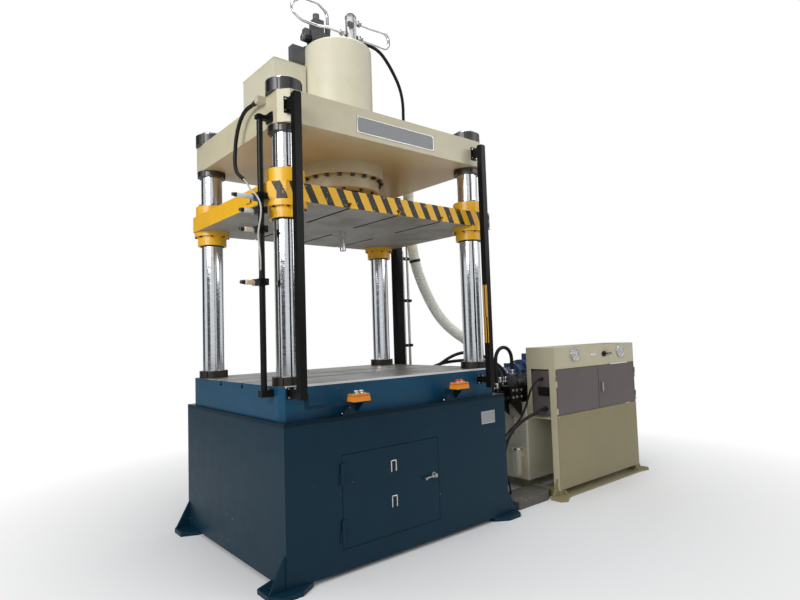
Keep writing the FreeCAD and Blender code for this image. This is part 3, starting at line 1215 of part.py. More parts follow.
def unit_motor():
    """The motor: a finned frame, end bells, terminal box, foot rails and an open fan cowl."""
    x, y, z = motor_axis()
    length = MOTOR_LENGTH
    r = MOTOR_DIAMETER / 2
    frame = rod(2 * r - 26, (x + 20, y, z), (x + length - 70, y, z))
    solids = []
    for number in range(20):
        fin = block(x + 30, x + length - 80, -2, 2, r - 16, r)
        fin.rotate(V(x, 0, 0), V(1, 0, 0), 18 * number + 9)
        fin.translate(V(0, y, z))
        solids.append(fin)
    solids.append(rod(2 * r + 16, (x, y, z), (x + 22, y, z)))
    cowl = rod(2 * r, (x + length - 70, y, z), (x + length, y, z))
    solids.append(cowl)
    solids.append(block(x + 90, x + 190, y - 50, y + 50, z + r - 20, z + r + 52))
    for side in (-1, 1):
        rail_y, web_y = y + side * 92, y + side * 80
        low = OIL_TANK_TOP + 16
        rail = block(x + 50, x + length - 110, rail_y - 22, rail_y + 22, OIL_TANK_TOP, low)
        web = block(x + 60, x + length - 120, web_y - 8, web_y + 8, low, z - 40)
        solids += [rail, web]
    motor = frame.fuse(solids)
    motor = motor.cut(rod(2 * r - 10, (x + length - 62, y, z), (x + length - 8, y, z)))
    motor = motor.cut(rod(MOTOR_SHAFT + 2 * SLIDING_CLEARANCE, (x - 1, y, z), (x + length - 60, y, z)))
    for number in range(8):
        slot = block(x + length - 9, x + length + 1, -6, 6, 26, r - 14)
        slot.rotate(V(x, 0, 0), V(1, 0, 0), 45 * number)
        slot.translate(V(0, y, z))
        motor = motor.cut(slot)
    return motor


def motor_rotor():
    """The motor's shaft with the coupling half at the drive end and the fan under the cowl."""
    x, y, z = motor_axis()
    length = MOTOR_LENGTH
    shaft = rod(MOTOR_SHAFT, (x - 60, y, z), (x + length - 22, y, z))
    coupling = rod(86, (x - 60, y, z), (x - 6, y, z))
    solids = [coupling, rod(60, (x + length - 54, y, z), (x + length - 22, y, z))]
    for number in range(7):
        blade = block(x + length - 54, x + length - 22, -2, 2, 20, MOTOR_DIAMETER / 2 - 18)
        blade.rotate(V(x, 0, 0), V(1, 0, 0), 360 * number / 7)
        blade.translate(V(0, y, z))
        solids.append(blade)
    return shaft.fuse(solids)


def unit_pump():
    """The pump on its bell housing: a lantern with side windows, the pump body and its two ports."""
    x, y, z = motor_axis()
    bell = rod(MOTOR_DIAMETER + 16, (x - 22, y, z), (x, y, z))
    lantern = rod(170, (x - 110, y, z), (x - 22, y, z))
    flange = rod(200, (x - 128, y, z), (x - 110, y, z))
    housing = bell.fuse([lantern, flange])
    housing = housing.cut(rod(110, (x - 100, y, z), (x + 1, y, z)))
    for side in (-1, 1):
        y0, y1 = sorted((y + side * 50, y + side * 100))
        housing = housing.cut(block(x - 92, x - 40, y0, y1, z - 32, z + 32))
    body = rod(140, (x - 250, y, z), (x - 128, y, z))
    cover = rod(112, (x - 276, y, z), (x - 250, y, z))
    suction = rod(56, (x - 190, y, OIL_TANK_TOP), (x - 190, y, z))
    outlet = rod(44, (x - 190, y, z), (x - 190, y, z + 100))
    return housing.fuse([body, cover, suction, outlet])


def manifold_corner():
    """The front left lower corner of the valve block."""
    return UNIT_LEFT - 160, OIL_TANK_FRONT + 20, OIL_TANK_TOP + 12


def unit_manifold():
    """The drilled valve block over the tank's left edge, with its bracket, screws and hose fittings."""
    x0, y0, z0 = manifold_corner()
    body = block(x0, x0 + 290, y0, y0 + 185, z0, z0 + 118)
    sole = block(x0 - 8, x0 + 298, y0 - 8, y0 + 193, z0 - 12, z0)
    solids = [sole]
    low = z0 - 12
    for y in (y0 + 20, y0 + 150):
        web = [(x0 + 20, y, low), (UNIT_LEFT - 14, y, low), (UNIT_LEFT - 14, y, low - OIL_TANK_LID),
               (UNIT_LEFT, y, low - OIL_TANK_LID), (UNIT_LEFT, y, low - 120)]
        solids.append(prism(web, (0, 10, 0)))
    for y, z, reach in ((y0 + 20, z0 + 30, 76), (y0 + 120, z0 + 84, 96), (y0 + 160, z0 + 36, 60)):
        solids.append(rod(36, (x0 - 30, y, z), (x0, y, z)))
        solids.append(rod(15, (x0 - reach, y, z), (x0 - 30, y, z)))
        solids.append(rod(25, (x0 - reach + 8, y, z), (x0 - reach + 20, y, z)))
    ax, ay, az = ARCH_HOSE[0]
    solids.append(block(ax - 26, x0, ay - 26, ay + 26, az - 72, az - 20))
    solids.append(post(ARCH_HOSE_DIAMETER + 12, ax, ay, az - 20, az))
    for hx, hy, hz in (TABLE_HOSE_UPPER[-1], TABLE_HOSE_LOWER[-1]):
        solids.append(post(TABLE_HOSE_DIAMETER + 12, hx, hy, z0 + 118, hz))
    for x in (x0 + 200, x0 + 250):
        solids.append(rod(34, (x, y0 - 26, z0 + 60), (x, y0, z0 + 60)))
    return body.fuse(solids)


def unit_valves():
    """Three directional valves on the block, each between two coils, and the port of the arched hose."""
    x0, y0, z0 = manifold_corner()
    z0 += 118
    valves = []
    for y in (y0 + 28, y0 + 84, y0 + 140):
        body = block(x0 + 198, x0 + 280, y - 23, y + 23, z0, z0 + 60)
        solids = []
        for a, b in ((x0 + 146, x0 + 198), (x0 + 280, x0 + 332)):
            solids.append(rod(42, (a, y, z0 + 32), (b, y, z0 + 32)))
            solids.append(block(a + 12, b - 12, y - 15, y + 15, z0 + 48, z0 + 82))
        valves.append(body.fuse(solids))
    ax, ay, az = ARCH_HOSE[-1]
    seat = block(ax - 27, ax + 27, ay - 27, ay + 27, z0, az - 14)
    valves.append(seat.fuse(post(ARCH_HOSE_DIAMETER + 12, ax, ay, az - 14, az)))
    return group(*valves)


def unit_filter():
    """The oil filter bowl at the tank's left side, its bright cap and its neck into the tank."""
    x = UNIT_LEFT - 52
    y = OIL_TANK_FRONT + 66
    bowl = post(72, x, y, 110, 318)
    bowl = soften(bowl, 12, is_level(110))
    cap = post(84, x, y, 318, 336)
    neck = rod(40, (x, y, 270), (UNIT_LEFT, y, 270))
    return bowl.fuse([cap, neck])


def floor_channel():
    """The folded cover over the oil lines on the floor between the press and the power unit."""
    x0, x1 = CABINET_WIDTH / 2 + 6, UNIT_LEFT - 14
    y1 = FRONT + 262
    knee = CABINET_WIDTH / 2 + FOOT_REACH + 30
    inner_y = FRONT + FOOT_LENGTH + 40
    outline = [(x0, y1), (x0, inner_y), (knee, inner_y), (knee + 30, FRONT + 34),
               (x1 - 100, FRONT + 34), (x1, FRONT + 84), (x1, y1)]
    height, wall = 56.0, 4.0
    cover = prism([(px, py, 0) for px, py in outline], (0, 0, height))
    hollow = [(x0 - 1, y1 - wall), (x0 - 1, inner_y + wall), (knee + wall, inner_y + wall),
              (knee + 30 + wall, FRONT + 34 + wall), (x1 - 100 - wall, FRONT + 34 + wall),
              (x1 + 1, FRONT + 84 + wall), (x1 + 1, y1 - wall)]
    return cover.cut(prism([(px, py, -1) for px, py in hollow], (0, 0, height - wall + 1)))


# ---- sub-parts ----
PARTS = {
    "base_floor": base_floor(),
    "base_walls": base_walls(),
    "base_front": base_front(),
    "base_top": base_top(),
    "base_feet": base_feet(),
    "bed_table": bed_table(),
    "bed_nuts": bed_nuts(),
    "crown_nuts": crown_nuts(),
    "crown": crown(),
    "main_cylinder": main_cylinder(),
    "prefill_tank": prefill_tank(),
    "top_box": top_box(),
    "pilot_valves": pilot_valves(),
    "pilot_tubes": pilot_tubes(),
    "platen": platen(),
    "platen_bushes": platen_bushes(),
    "ram": ram(),
    "guard_post_left": guard_post_left(),
    "guard_post_right": guard_post_right(),
    "station_brackets": station_brackets(),
    "button_box_left": button_box(-STATION_INSET_LEFT),
    "button_box_right": button_box(STATION_INSET_RIGHT),
    "push_button_left": push_button(-STATION_INSET_LEFT),
    "push_button_right": push_button(STATION_INSET_RIGHT),
    "limit_rod": limit_rod(),
    "limit_switches": limit_switches(),
    "service_post": service_post(),
    "service_pipes": service_pipes(),
    "base_door": base_door(),
    "door_latch": door_latch(),
    "name_plate": name_plate(),
    "label_plate": label_plate(),
    "unit_skid": unit_skid(),
    "unit_tank": unit_tank(),
    "unit_console": unit_console(),
    "unit_panel": unit_panel(),
    "unit_door_left": unit_door(-1),
    "unit_door_right": unit_door(1),
    "unit_handle": unit_handle(),
    "selector": selector(),
    "gauges": gauges(),
    "unit_motor": unit_motor(),
    "motor_rotor": motor_rotor(),
    "unit_pump": unit_pump(),
    "unit_manifold": unit_manifold(),
    "unit_valves": unit_valves(),
    "unit_filter": unit_filter(),
    "floor_channel": floor_channel(),
    "return_hose": ribbed_hose("return hose", RETURN_HOSE),
    "pilot_hose": tube("pilot hose", PILOT_HOSE_DIAMETER, PILOT_HOSE),
    "table_hose_upper": tube("upper table hose", TABLE_HOSE_DIAMETER, TABLE_HOSE_UPPER),
    "table_hose_lower": tube("lower table hose", TABLE_HOSE_DIAMETER, TABLE_HOSE_LOWER),
    "arch_hose": tube("arched hose", ARCH_HOSE_DIAMETER, ARCH_HOSE),
    "switch_cable": group(tube("switch cable", SWITCH_CABLE_DIAMETER, SWITCH_CABLE),
                          tube("switch lead", SWITCH_LEAD_DIAMETER, SWITCH_LEAD)),
    "console_cable": tube("console cable", UNIT_CABLE_DIAMETER, CONSOLE_CABLE),
    "supply_cable": tube("supply cable", UNIT_CABLE_THICK_DIAMETER, SUPPLY_CABLE),
}
for corner_name, corner in zip(CORNER_NAMES, CORNERS):
    PARTS["column_" + corner_name] = column(*corner)

os.makedirs("parts", exist_ok=True)
for node, shape in PARTS.items():
    if not shape.isValid():
        print("not valid:", node)
    shape.exportStep("parts/" + node + ".step")
print(len(PARTS), "sub-parts")
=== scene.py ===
import logging
import math
from dataclasses import dataclass, field
from enum import Enum

import bpy
import numpy as np
from mathutils import Matrix, Vector


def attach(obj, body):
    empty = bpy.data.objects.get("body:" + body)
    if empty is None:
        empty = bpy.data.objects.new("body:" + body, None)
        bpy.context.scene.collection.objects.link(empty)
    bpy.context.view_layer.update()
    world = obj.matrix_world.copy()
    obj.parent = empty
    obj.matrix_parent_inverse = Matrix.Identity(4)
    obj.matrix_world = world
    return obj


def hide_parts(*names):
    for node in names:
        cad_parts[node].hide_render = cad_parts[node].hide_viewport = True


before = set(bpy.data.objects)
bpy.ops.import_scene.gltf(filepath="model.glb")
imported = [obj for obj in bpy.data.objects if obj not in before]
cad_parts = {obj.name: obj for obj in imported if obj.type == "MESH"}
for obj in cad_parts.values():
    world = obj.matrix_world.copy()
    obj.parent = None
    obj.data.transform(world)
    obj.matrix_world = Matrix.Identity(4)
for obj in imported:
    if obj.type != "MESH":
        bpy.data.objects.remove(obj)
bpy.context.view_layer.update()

LOG = logging.getLogger("press")
Colour = tuple[float, float, float]
Point = tuple[float, float, float]


# ---------------------------------------------------------------- surfaces
def grid_faces(rows: int, columns: int, close_rows: bool = False, close_columns: bool = False) -> np.ndarray:
    """Quads of a grid of points stored row by row.

    Args:
        rows: Number of rows of points.
        columns: Number of points in a row.
        close_rows: Join the last row to the first.
        close_columns: Join the last point of each row to its first.

    Returns:
        Array of shape (faces, 4) of point numbers.
    """
    u = np.arange(rows if close_rows else rows - 1)[:, None]
    v = np.arange(columns if close_columns else columns - 1)[None, :]
    a = u * columns + v
    b = u * columns + (v + 1) % columns
    c = ((u + 1) % rows) * columns + (v + 1) % columns
    d = ((u + 1) % rows) * columns + v
    return np.stack([a, b, c, d], axis=-1).reshape(-1, 4)


def closed_tube(rings: int, points: int) -> list[np.ndarray]:
    """Faces of rings of points one after another, with a face on both ends."""
    ring = np.arange(points)
    return [grid_faces(rings, points, close_columns=True), ring[::-1][None],
            ((rings - 1) * points + ring)[None]]


def stacked(rings: list[tuple[np.ndarray, float]]) -> np.ndarray:
    """Rings of XY points laid at their heights, one after another."""
    return np.concatenate([np.column_stack([ring, np.full(len(ring), z)]) for ring, z in rings])


def axis_frame(axis: Point) -> np.ndarray:
    """Three unit rows, side, up and axis, for a piece that points along axis.

    Args:
        axis: Direction of the piece's own Z.

    Returns:
        Rotation of shape (3, 3), one unit vector a row.
    """
    z = np.asarray(axis, float)
    z /= np.linalg.norm(z)
    hint = np.array([0.0, 0.0, 1.0]) if abs(z[2]) < 0.9 else np.array([0.0, 1.0, 0.0])
    x = np.cross(hint, z)
    x /= np.linalg.norm(x)
    return np.stack([x, np.cross(z, x), z])


@dataclass
class Shape:
    """Points and faces of a surface that isn't in the scene yet."""

    points: np.ndarray
    faces: list[np.ndarray] = field(default_factory=list)

    def placed(self, at: Point, axis: Point = (0, 0, 1), turn: float = 0.0) -> "Shape":
        """A copy turned about its own Z, pointed along axis and moved.

        Args:
            at: Where its origin goes.
            axis: Where its Z points.
            turn: Angle about its own Z, in radians.

        Returns:
            The new shape.
        """
        c, s = math.cos(turn), math.sin(turn)
        spun = self.points @ np.array([[c, s, 0], [-s, c, 0], [0, 0, 1]])
        return Shape(spun @ axis_frame(axis) + np.asarray(at, float), self.faces)

    def scattered(self, places: np.ndarray, axis: Point = (0, 0, 1)) -> "Shape":
        """Many copies at once: every point of the shape plus every place.

        Args:
            places: Array of shape (n, 3).
            axis: Where each copy's Z points.

        Returns:
            One shape with all copies.
        """
        places = np.asarray(places, float).reshape(-1, 3)
        points = ((self.points @ axis_frame(axis))[None] + places[:, None, :]).reshape(-1, 3)
        step = np.arange(len(places))[:, None, None] * len(self.points)
        return Shape(points, [(f[None] + step).reshape(-1, f.shape[1]) for f in self.faces])


def joined(*shapes: Shape) -> Shape:
    """One shape with all points and faces of several."""
    faces, start = [], 0
    for shape in shapes:
        faces += [f + start for f in shape.faces]
        start += len(shape.points)
    return Shape(np.concatenate([shape.points for shape in shapes]), faces)


def revolved(profile: list[tuple[float, float]], sides: int = 48, ring: bool = False) -> Shape:
    """A profile of radius and height turned about Z, closed with fans where the radius isn't zero.

    Formula: x = r cos a, y = r sin a, z = h, with a on an even grid of angles.

    Args:
        profile: Radius and height pairs, from the lower end, anticlockwise seen with the axis at the left.
        sides: Steps round the axis.
        ring: The profile is a closed section clear of the axis, so it has no ends.

    Returns:
        The closed surface.
    """
    r, h = np.asarray(profile, float).T
    a = np.linspace(0, 2 * math.pi, sides, endpoint=False)
    points = np.stack([np.outer(r, np.cos(a)), np.outer(r, np.sin(a)), np.outer(h, np.ones(sides))], axis=-1)
    faces = [grid_faces(len(r), sides, close_rows=ring, close_columns=True)]
    if not ring:
        low, high = closed_tube(len(r), sides)[1:]
        faces += [end for end, radius in ((low, r[0]), (high, r[-1])) if radius > 1e-9]
    return Shape(points.reshape(-1, 3), faces)


def ring_profile(profile: list[tuple[float, float]], sides: int = 48) -> Shape:
    """A closed section clear of the axis, turned about Z into a ring."""
    return revolved(profile, sides, ring=True)


def pushed(outline: np.ndarray, low: float, high: float, edge: float = 0.0) -> Shape:
    """A convex outline in XY pushed up from low to high, with its rims turned in by edge.

    Formula: rings of the outline at low, low + edge, high - edge and high, the end rings
    drawn towards the outline's middle by edge.

    Args:
        outline: Array of shape (n, 2), anticlockwise.
        low: Height of the bottom face.
        high: Height of the top face.
        edge: Width of the chamfer round both rims.

    Returns:
        The closed surface.
    """
    outline = np.asarray(outline, float)
    middle = outline.mean(axis=0)
    reach = np.abs(outline - middle).max(axis=0)
    inner = middle + (outline - middle) * (1 - edge / np.maximum(reach, 1e-9))
    rings = [(inner, low), (outline, low + edge), (outline, high - edge), (inner, high)] if edge else [
        (outline, low), (outline, high)]
    return Shape(stacked(rings), closed_tube(len(rings), len(outline)))


def rounded_box(size: Point, radius: float, edge: float = 0.0, steps: int = 5) -> Shape:
    """A box about its own middle whose four upright edges are rounded.

    Args:
        size: Width, depth and height.
        radius: Radius of the upright edges.
        edge: Chamfer round the top and the bottom.
        steps: Points on each rounded corner.

    Returns:
        The closed surface.
    """
    w, d, h = (0.5 * s for s in size)
    a = np.linspace(0, math.pi / 2, steps)
    arc = np.stack([np.cos(a), np.sin(a)], axis=-1) * radius
    turns = [(1, 1, 0), (-1, 1, 1), (-1, -1, 2), (1, -1, 3)]
    rows = []
    for sx, sy, quarter in turns:
        c, s = math.cos(quarter * math.pi / 2), math.sin(quarter * math.pi / 2)
        rows.append(arc @ np.array([[c, s], [-s, c]]) + [sx * (w - radius), sy * (d - radius)])
    return pushed(np.concatenate(rows), -h, h, edge)


def hexagon(across: float) -> np.ndarray:
    """Six corners of a hexagon of a given width across its flats."""
    a = np.arange(6) * math.pi / 3
    return np.stack([np.cos(a), np.sin(a)], axis=-1) * across / math.sqrt(3)


def hex_bolt(across: float, height: float, washer: float = 0.0) -> Shape:
    """A hexagon head with turned corners, on a washer if one is asked for.

    Args:
        across: Width across the flats.
        height: Height of the head.
        washer: Diameter of the washer under it, or 0.

    Returns:
        The head, standing on its origin.
    """
    base = 0.12 * across if washer else 0.0
    shoulder, face = 0.86 * height, 0.93
    flats = hexagon(across)
    head = Shape(stacked([(flats, base), (flats, base + shoulder), (flats * face, base + height)]),
                 closed_tube(3, 6))
    if not washer:
        return head
    r = washer / 2
    return joined(revolved([(r, 0.0), (r, base * 0.8), (r - base * 0.2, base)], 20), head)


def socket_bolt(diameter: float, height: float) -> Shape:
    """A round cap-screw head with a hexagon socket sunk into it.

    Args:
        diameter: Diameter of the head.
        height: Height of the head.

    Returns:
        The head, standing on its origin.
    """
    r, sides, socket, floor = diameter / 2, 24, 0.52, 0.45
    a = np.linspace(0, 2 * math.pi, sides, endpoint=False)
    six = r * socket * math.cos(math.pi / 6) / np.cos((a % (math.pi / 3)) - math.pi / 6)
    rows = [(r, 0.0), (r, height * 0.9), (r * 0.92, height), (six, height), (six, height * floor)]
    rings = [(np.column_stack([q * np.cos(a), q * np.sin(a)]), z) for q, z in rows]
    return Shape(stacked(rings), closed_tube(len(rows), sides))


def carried(path: np.ndarray, radii: np.ndarray | float, sides: int = 16) -> Shape:
    """A round section carried along a path, one radius for each point of it.

    Formula: the tangent is the path's central difference; the side is the tangent crossed with
    the axis that the path uses least, and each ring is side cos a + across sin a, times the radius.

    Args:
        path: Array of shape (n, 3).
        radii: One radius, or one for each point.
        sides: Steps round the section.

    Returns:
        The tube.
    """
    path = np.asarray(path, float)
    tangent = np.gradient(path, axis=0)
    tangent /= np.linalg.norm(tangent, axis=1, keepdims=True)
    hint = np.zeros(3)
    hint[np.argmin(np.abs(tangent).max(axis=0))] = 1.0
    side = np.cross(hint, tangent)
    side /= np.linalg.norm(side, axis=1, keepdims=True)
    across = np.cross(tangent, side)
    a = np.linspace(0, 2 * math.pi, sides, endpoint=False)
    radii = np.broadcast_to(np.asarray(radii, float), (len(path),))
    spokes = np.cos(a)[None, :, None] * side[:, None] + np.sin(a)[None, :, None] * across[:, None]
    points = (path[:, None] + radii[:, None, None] * spokes).reshape(-1, 3)
    return Shape(points, closed_tube(len(path), sides))


def slab(low: Point, high: Point, edge: float = 0.0) -> Shape:
    """A box between its lower and upper corner, with chamfers edge wide round top and bottom."""
    (x0, y0, z0), (x1, y1, z1) = low, high
    return pushed(np.array([(x0, y0), (x1, y0), (x1, y1), (x0, y1)]), z0, z1, edge)


def rim(width: float, height: float, band: float, proud: float) -> Shape:
    """A flat rectangular rim about its own middle in XY, raised along Z.

    Formula: four rectangles, outer and inner at the two heights, joined into one ring.

    Args:
        width: Outer width.
        height: Outer height.
        band: Width of the rim's face.
        proud: How far it stands up.

    Returns:
        The ring's surface.
    """
    corners = np.array([(-1, -1), (1, -1), (1, 1), (-1, 1)], float)
    outer, inner = np.array([width, height]) / 2, np.array([width, height]) / 2 - band
    rows = [(outer, 0.0), (outer, proud), (inner, proud), (inner, 0.0)]
    return Shape(stacked([(corners * size, z) for size, z in rows]),
                 [grid_faces(4, 4, close_rows=True, close_columns=True)])


def rivet(diameter: float, height: float) -> Shape:
    """A low round rivet head standing on its origin."""
    a = np.linspace(0, math.pi / 2, 5)
    r = diameter / 2
    return revolved([(r, 0.0)] + [(r * c, height * (0.25 + 0.75 * s)) for c,
                                  s in zip(np.cos(a), np.sin(a))], 14)


def around(radius: float, count: int, height: float, centre: tuple[float, float] = (0.0, 0.0),
           start: float = 0.0) -> np.ndarray:
    """A number of places on a level circle; the first is at the angle start, in radians."""
    a = start + np.arange(count) * 2 * math.pi / count
    return np.stack([centre[0] + radius * np.cos(a), centre[1] + radius * np.sin(a),
                     np.full(count, height)], axis=-1)


def corners_of(x: float, y: float, z: float) -> np.ndarray:
    """The four places (±x, ±y) at one height."""
    return np.array([(-x, -y, z), (x, -y, z), (-x, y, z), (x, y, z)])


def four_round(x: float, y: float, z: float, dx: float, dy: float) -> np.ndarray:
    """The four places dx and dy away from (x, y) at one height."""
    return np.array([(x + sx * dx, y + sy * dy, z) for sx in (-1, 1) for sy in (-1, 1)])


def lattice(xs: list[float], ys: list[float], zs: list[float]) -> np.ndarray:
    """Every place with its X, Y and Z out of three lists; X changes slowest."""
    return np.array([(x, y, z) for x in xs for y in ys for z in zs])


def lettering(text: str, size: float) -> Shape:
    """Raised digits about their own middle, in XY.

    Args:
        text: The digits.
        size: Height of the line.

    Returns:
        The digits' surface.
    """
    data = bpy.data.curves.new("digits", "FONT")
    data.body, data.size, data.extrude = text, size, 0.0002
    data.align_x, data.align_y = "CENTER", "CENTER"
    data.resolution_u = 3
    holder = bpy.data.objects.new("digits", data)
    mesh = bpy.data.meshes.new_from_object(holder)
    points = np.empty(len(mesh.vertices) * 3)
    mesh.vertices.foreach_get("co", points)
    sizes = np.empty(len(mesh.polygons), dtype=int)
    mesh.polygons.foreach_get("loop_total", sizes)
    loops = np.empty(len(mesh.loops), dtype=int)
    mesh.loops.foreach_get("vertex_index", loops)
    starts = np.concatenate([[0], np.cumsum(sizes)[:-1]])
    faces = [loops[starts[sizes == n][:, None] + np.arange(n)] for n in np.unique(sizes)]
    bpy.data.objects.remove(holder)
    bpy.data.meshes.remove(mesh)
    bpy.data.curves.remove(data)
    return Shape(points.reshape(-1, 3), faces)


# ---------------------------------------------------------------- shader groups
class Sort(Enum):
    """Kinds of socket on a shader group."""

    COLOUR = "NodeSocketColor"
    NUMBER = "NodeSocketFloat"
    VECTOR = "NodeSocketVector"


class Nodes:
    """A node tree with short calls for the nodes that the finishes use."""

    def __init__(self, tree: bpy.types.NodeTree) -> None:
        """Start on an empty tree."""
        self.tree = tree

    def add(self, kind: str, **settings: object) -> bpy.types.Node:
        """Add a node by Blender's name for its type and set its properties."""
        node = self.tree.nodes.new(kind)
        for name, value in settings.items():
            setattr(node, name, value)
        return node

    def feed(self, source: object, target: bpy.types.NodeSocket) -> None:
        """Link a socket, or set a plain value, into a target socket."""
        if isinstance(source, bpy.types.NodeSocket):
            self.tree.links.new(source, target)
        else:
            target.default_value = source

    def math(self, operation: str, a: object, b: object = 0.0, clamp: bool = False) -> bpy.types.NodeSocket:
        """One Math node on values or sockets a and b; clamp keeps the result between 0 and 1."""
        node = self.add("ShaderNodeMath", operation=operation, use_clamp=clamp)
        self.feed(a, node.inputs[0])
        self.feed(b, node.inputs[1])
        return node.outputs[0]

    def mix(self, factor: object, a: object, b: object) -> bpy.types.NodeSocket:
        """Two colours or sockets blended; factor is how much of b shows."""
        node = self.add("ShaderNodeMix", data_type="RGBA")
        self.feed(factor, node.inputs[0])
        self.feed(a, node.inputs[6])
        self.feed(b, node.inputs[7])
        return node.outputs[2]

    def noise(self, vector: object, scale: object, detail: float = 3.0,
              rough: float = 0.5) -> bpy.types.NodeSocket:
        """Plain noise between 0 and 1.

        Args:
            vector: Socket of coordinates.
            scale: Noise cells in a metre.
            detail: Octaves.
            rough: Strength of the finer octaves.

        Returns:
            The noise value's socket.
        """
        node = self.add("ShaderNodeTexNoise")
        self.feed(vector, node.inputs["Vector"])
        self.feed(scale, node.inputs["Scale"])
        node.inputs["Detail"].default_value = detail
        node.inputs["Roughness"].default_value = rough
        return node.outputs["Fac"]

    def ramp(self, value: object, low: object, high: object, start: object = 0.0,
             end: object = 1.0) -> bpy.types.NodeSocket:
        """Carry a value from one range to another, held at its ends.

        Args:
            value: Socket to read.
            low: Value that becomes start.
            high: Value that becomes end.
            start: Result at low.
            end: Result at high.

        Returns:
            The new value's socket.
        """
        node = self.add("ShaderNodeMapRange", clamp=True)
        for number, source in enumerate((value, low, high, start, end)):
            self.feed(source, node.inputs[number])
        return node.outputs[0]

    def place(self) -> bpy.types.NodeSocket:
        """The piece's own coordinates, in metres."""
        return self.add("ShaderNodeTexCoord").outputs["Object"]

    def facing(self) -> bpy.types.NodeSocket:
        """The direction that the surface looks."""
        return self.add("ShaderNodeTexCoord").outputs["Normal"]

    def axes(self, vector: bpy.types.NodeSocket) -> list[bpy.types.NodeSocket]:
        """The X, Y and Z of a vector."""
        node = self.add("ShaderNodeSeparateXYZ")
        self.feed(vector, node.inputs[0])
        return list(node.outputs)

    def scaled(self, colour: object, gain: object) -> bpy.types.NodeSocket:
        """A colour made lighter or darker by a factor."""
        node = self.add("ShaderNodeVectorMath", operation="SCALE")
        self.feed(colour, node.inputs[0])
        self.feed(gain, node.inputs["Scale"])
        return node.outputs[0]

    def fill(self, node: bpy.types.Node, **values: object) -> bpy.types.Node:
        """Fill a node's inputs by name, with underscores for the spaces in their names."""
        for name, value in values.items():
            self.feed(value, node.inputs[name.replace("_", " ")])
        return node

    def stretched(self, vector: object, scale: Point) -> bpy.types.NodeSocket:
        """Coordinates scaled a different amount on each axis."""
        node = self.add("ShaderNodeMapping")
        self.feed(vector, node.inputs["Vector"])
        node.inputs["Scale"].default_value = scale
        return node.outputs[0]


def new_group(name: str, inputs: list[tuple[str, Sort, object]], outputs: list[tuple[str, Sort]]
              ) -> tuple[bpy.types.NodeTree, Nodes, dict, dict]:
    """An empty shader group with named sockets.

    Args:
        name: The group's name.
        inputs: Name, kind and default of each input.
        outputs: Name and kind of each output.

    Returns:
        The group, its node helper, its inputs by name and its outputs by name.
    """
    tree = bpy.data.node_groups.new(name, "ShaderNodeTree")
    for label, sort, default in inputs:
        socket = tree.interface.new_socket(label, in_out="INPUT", socket_type=sort.value)
        socket.default_value = default
    for label, sort in outputs:
        tree.interface.new_socket(label, in_out="OUTPUT", socket_type=sort.value)
    nodes = Nodes(tree)
    start = nodes.add("NodeGroupInput")
    end = nodes.add("NodeGroupOutput")
    given, out = ({s.name: s for s in ends if s.name} for ends in (start.outputs, end.inputs))
    return tree, nodes, given, out


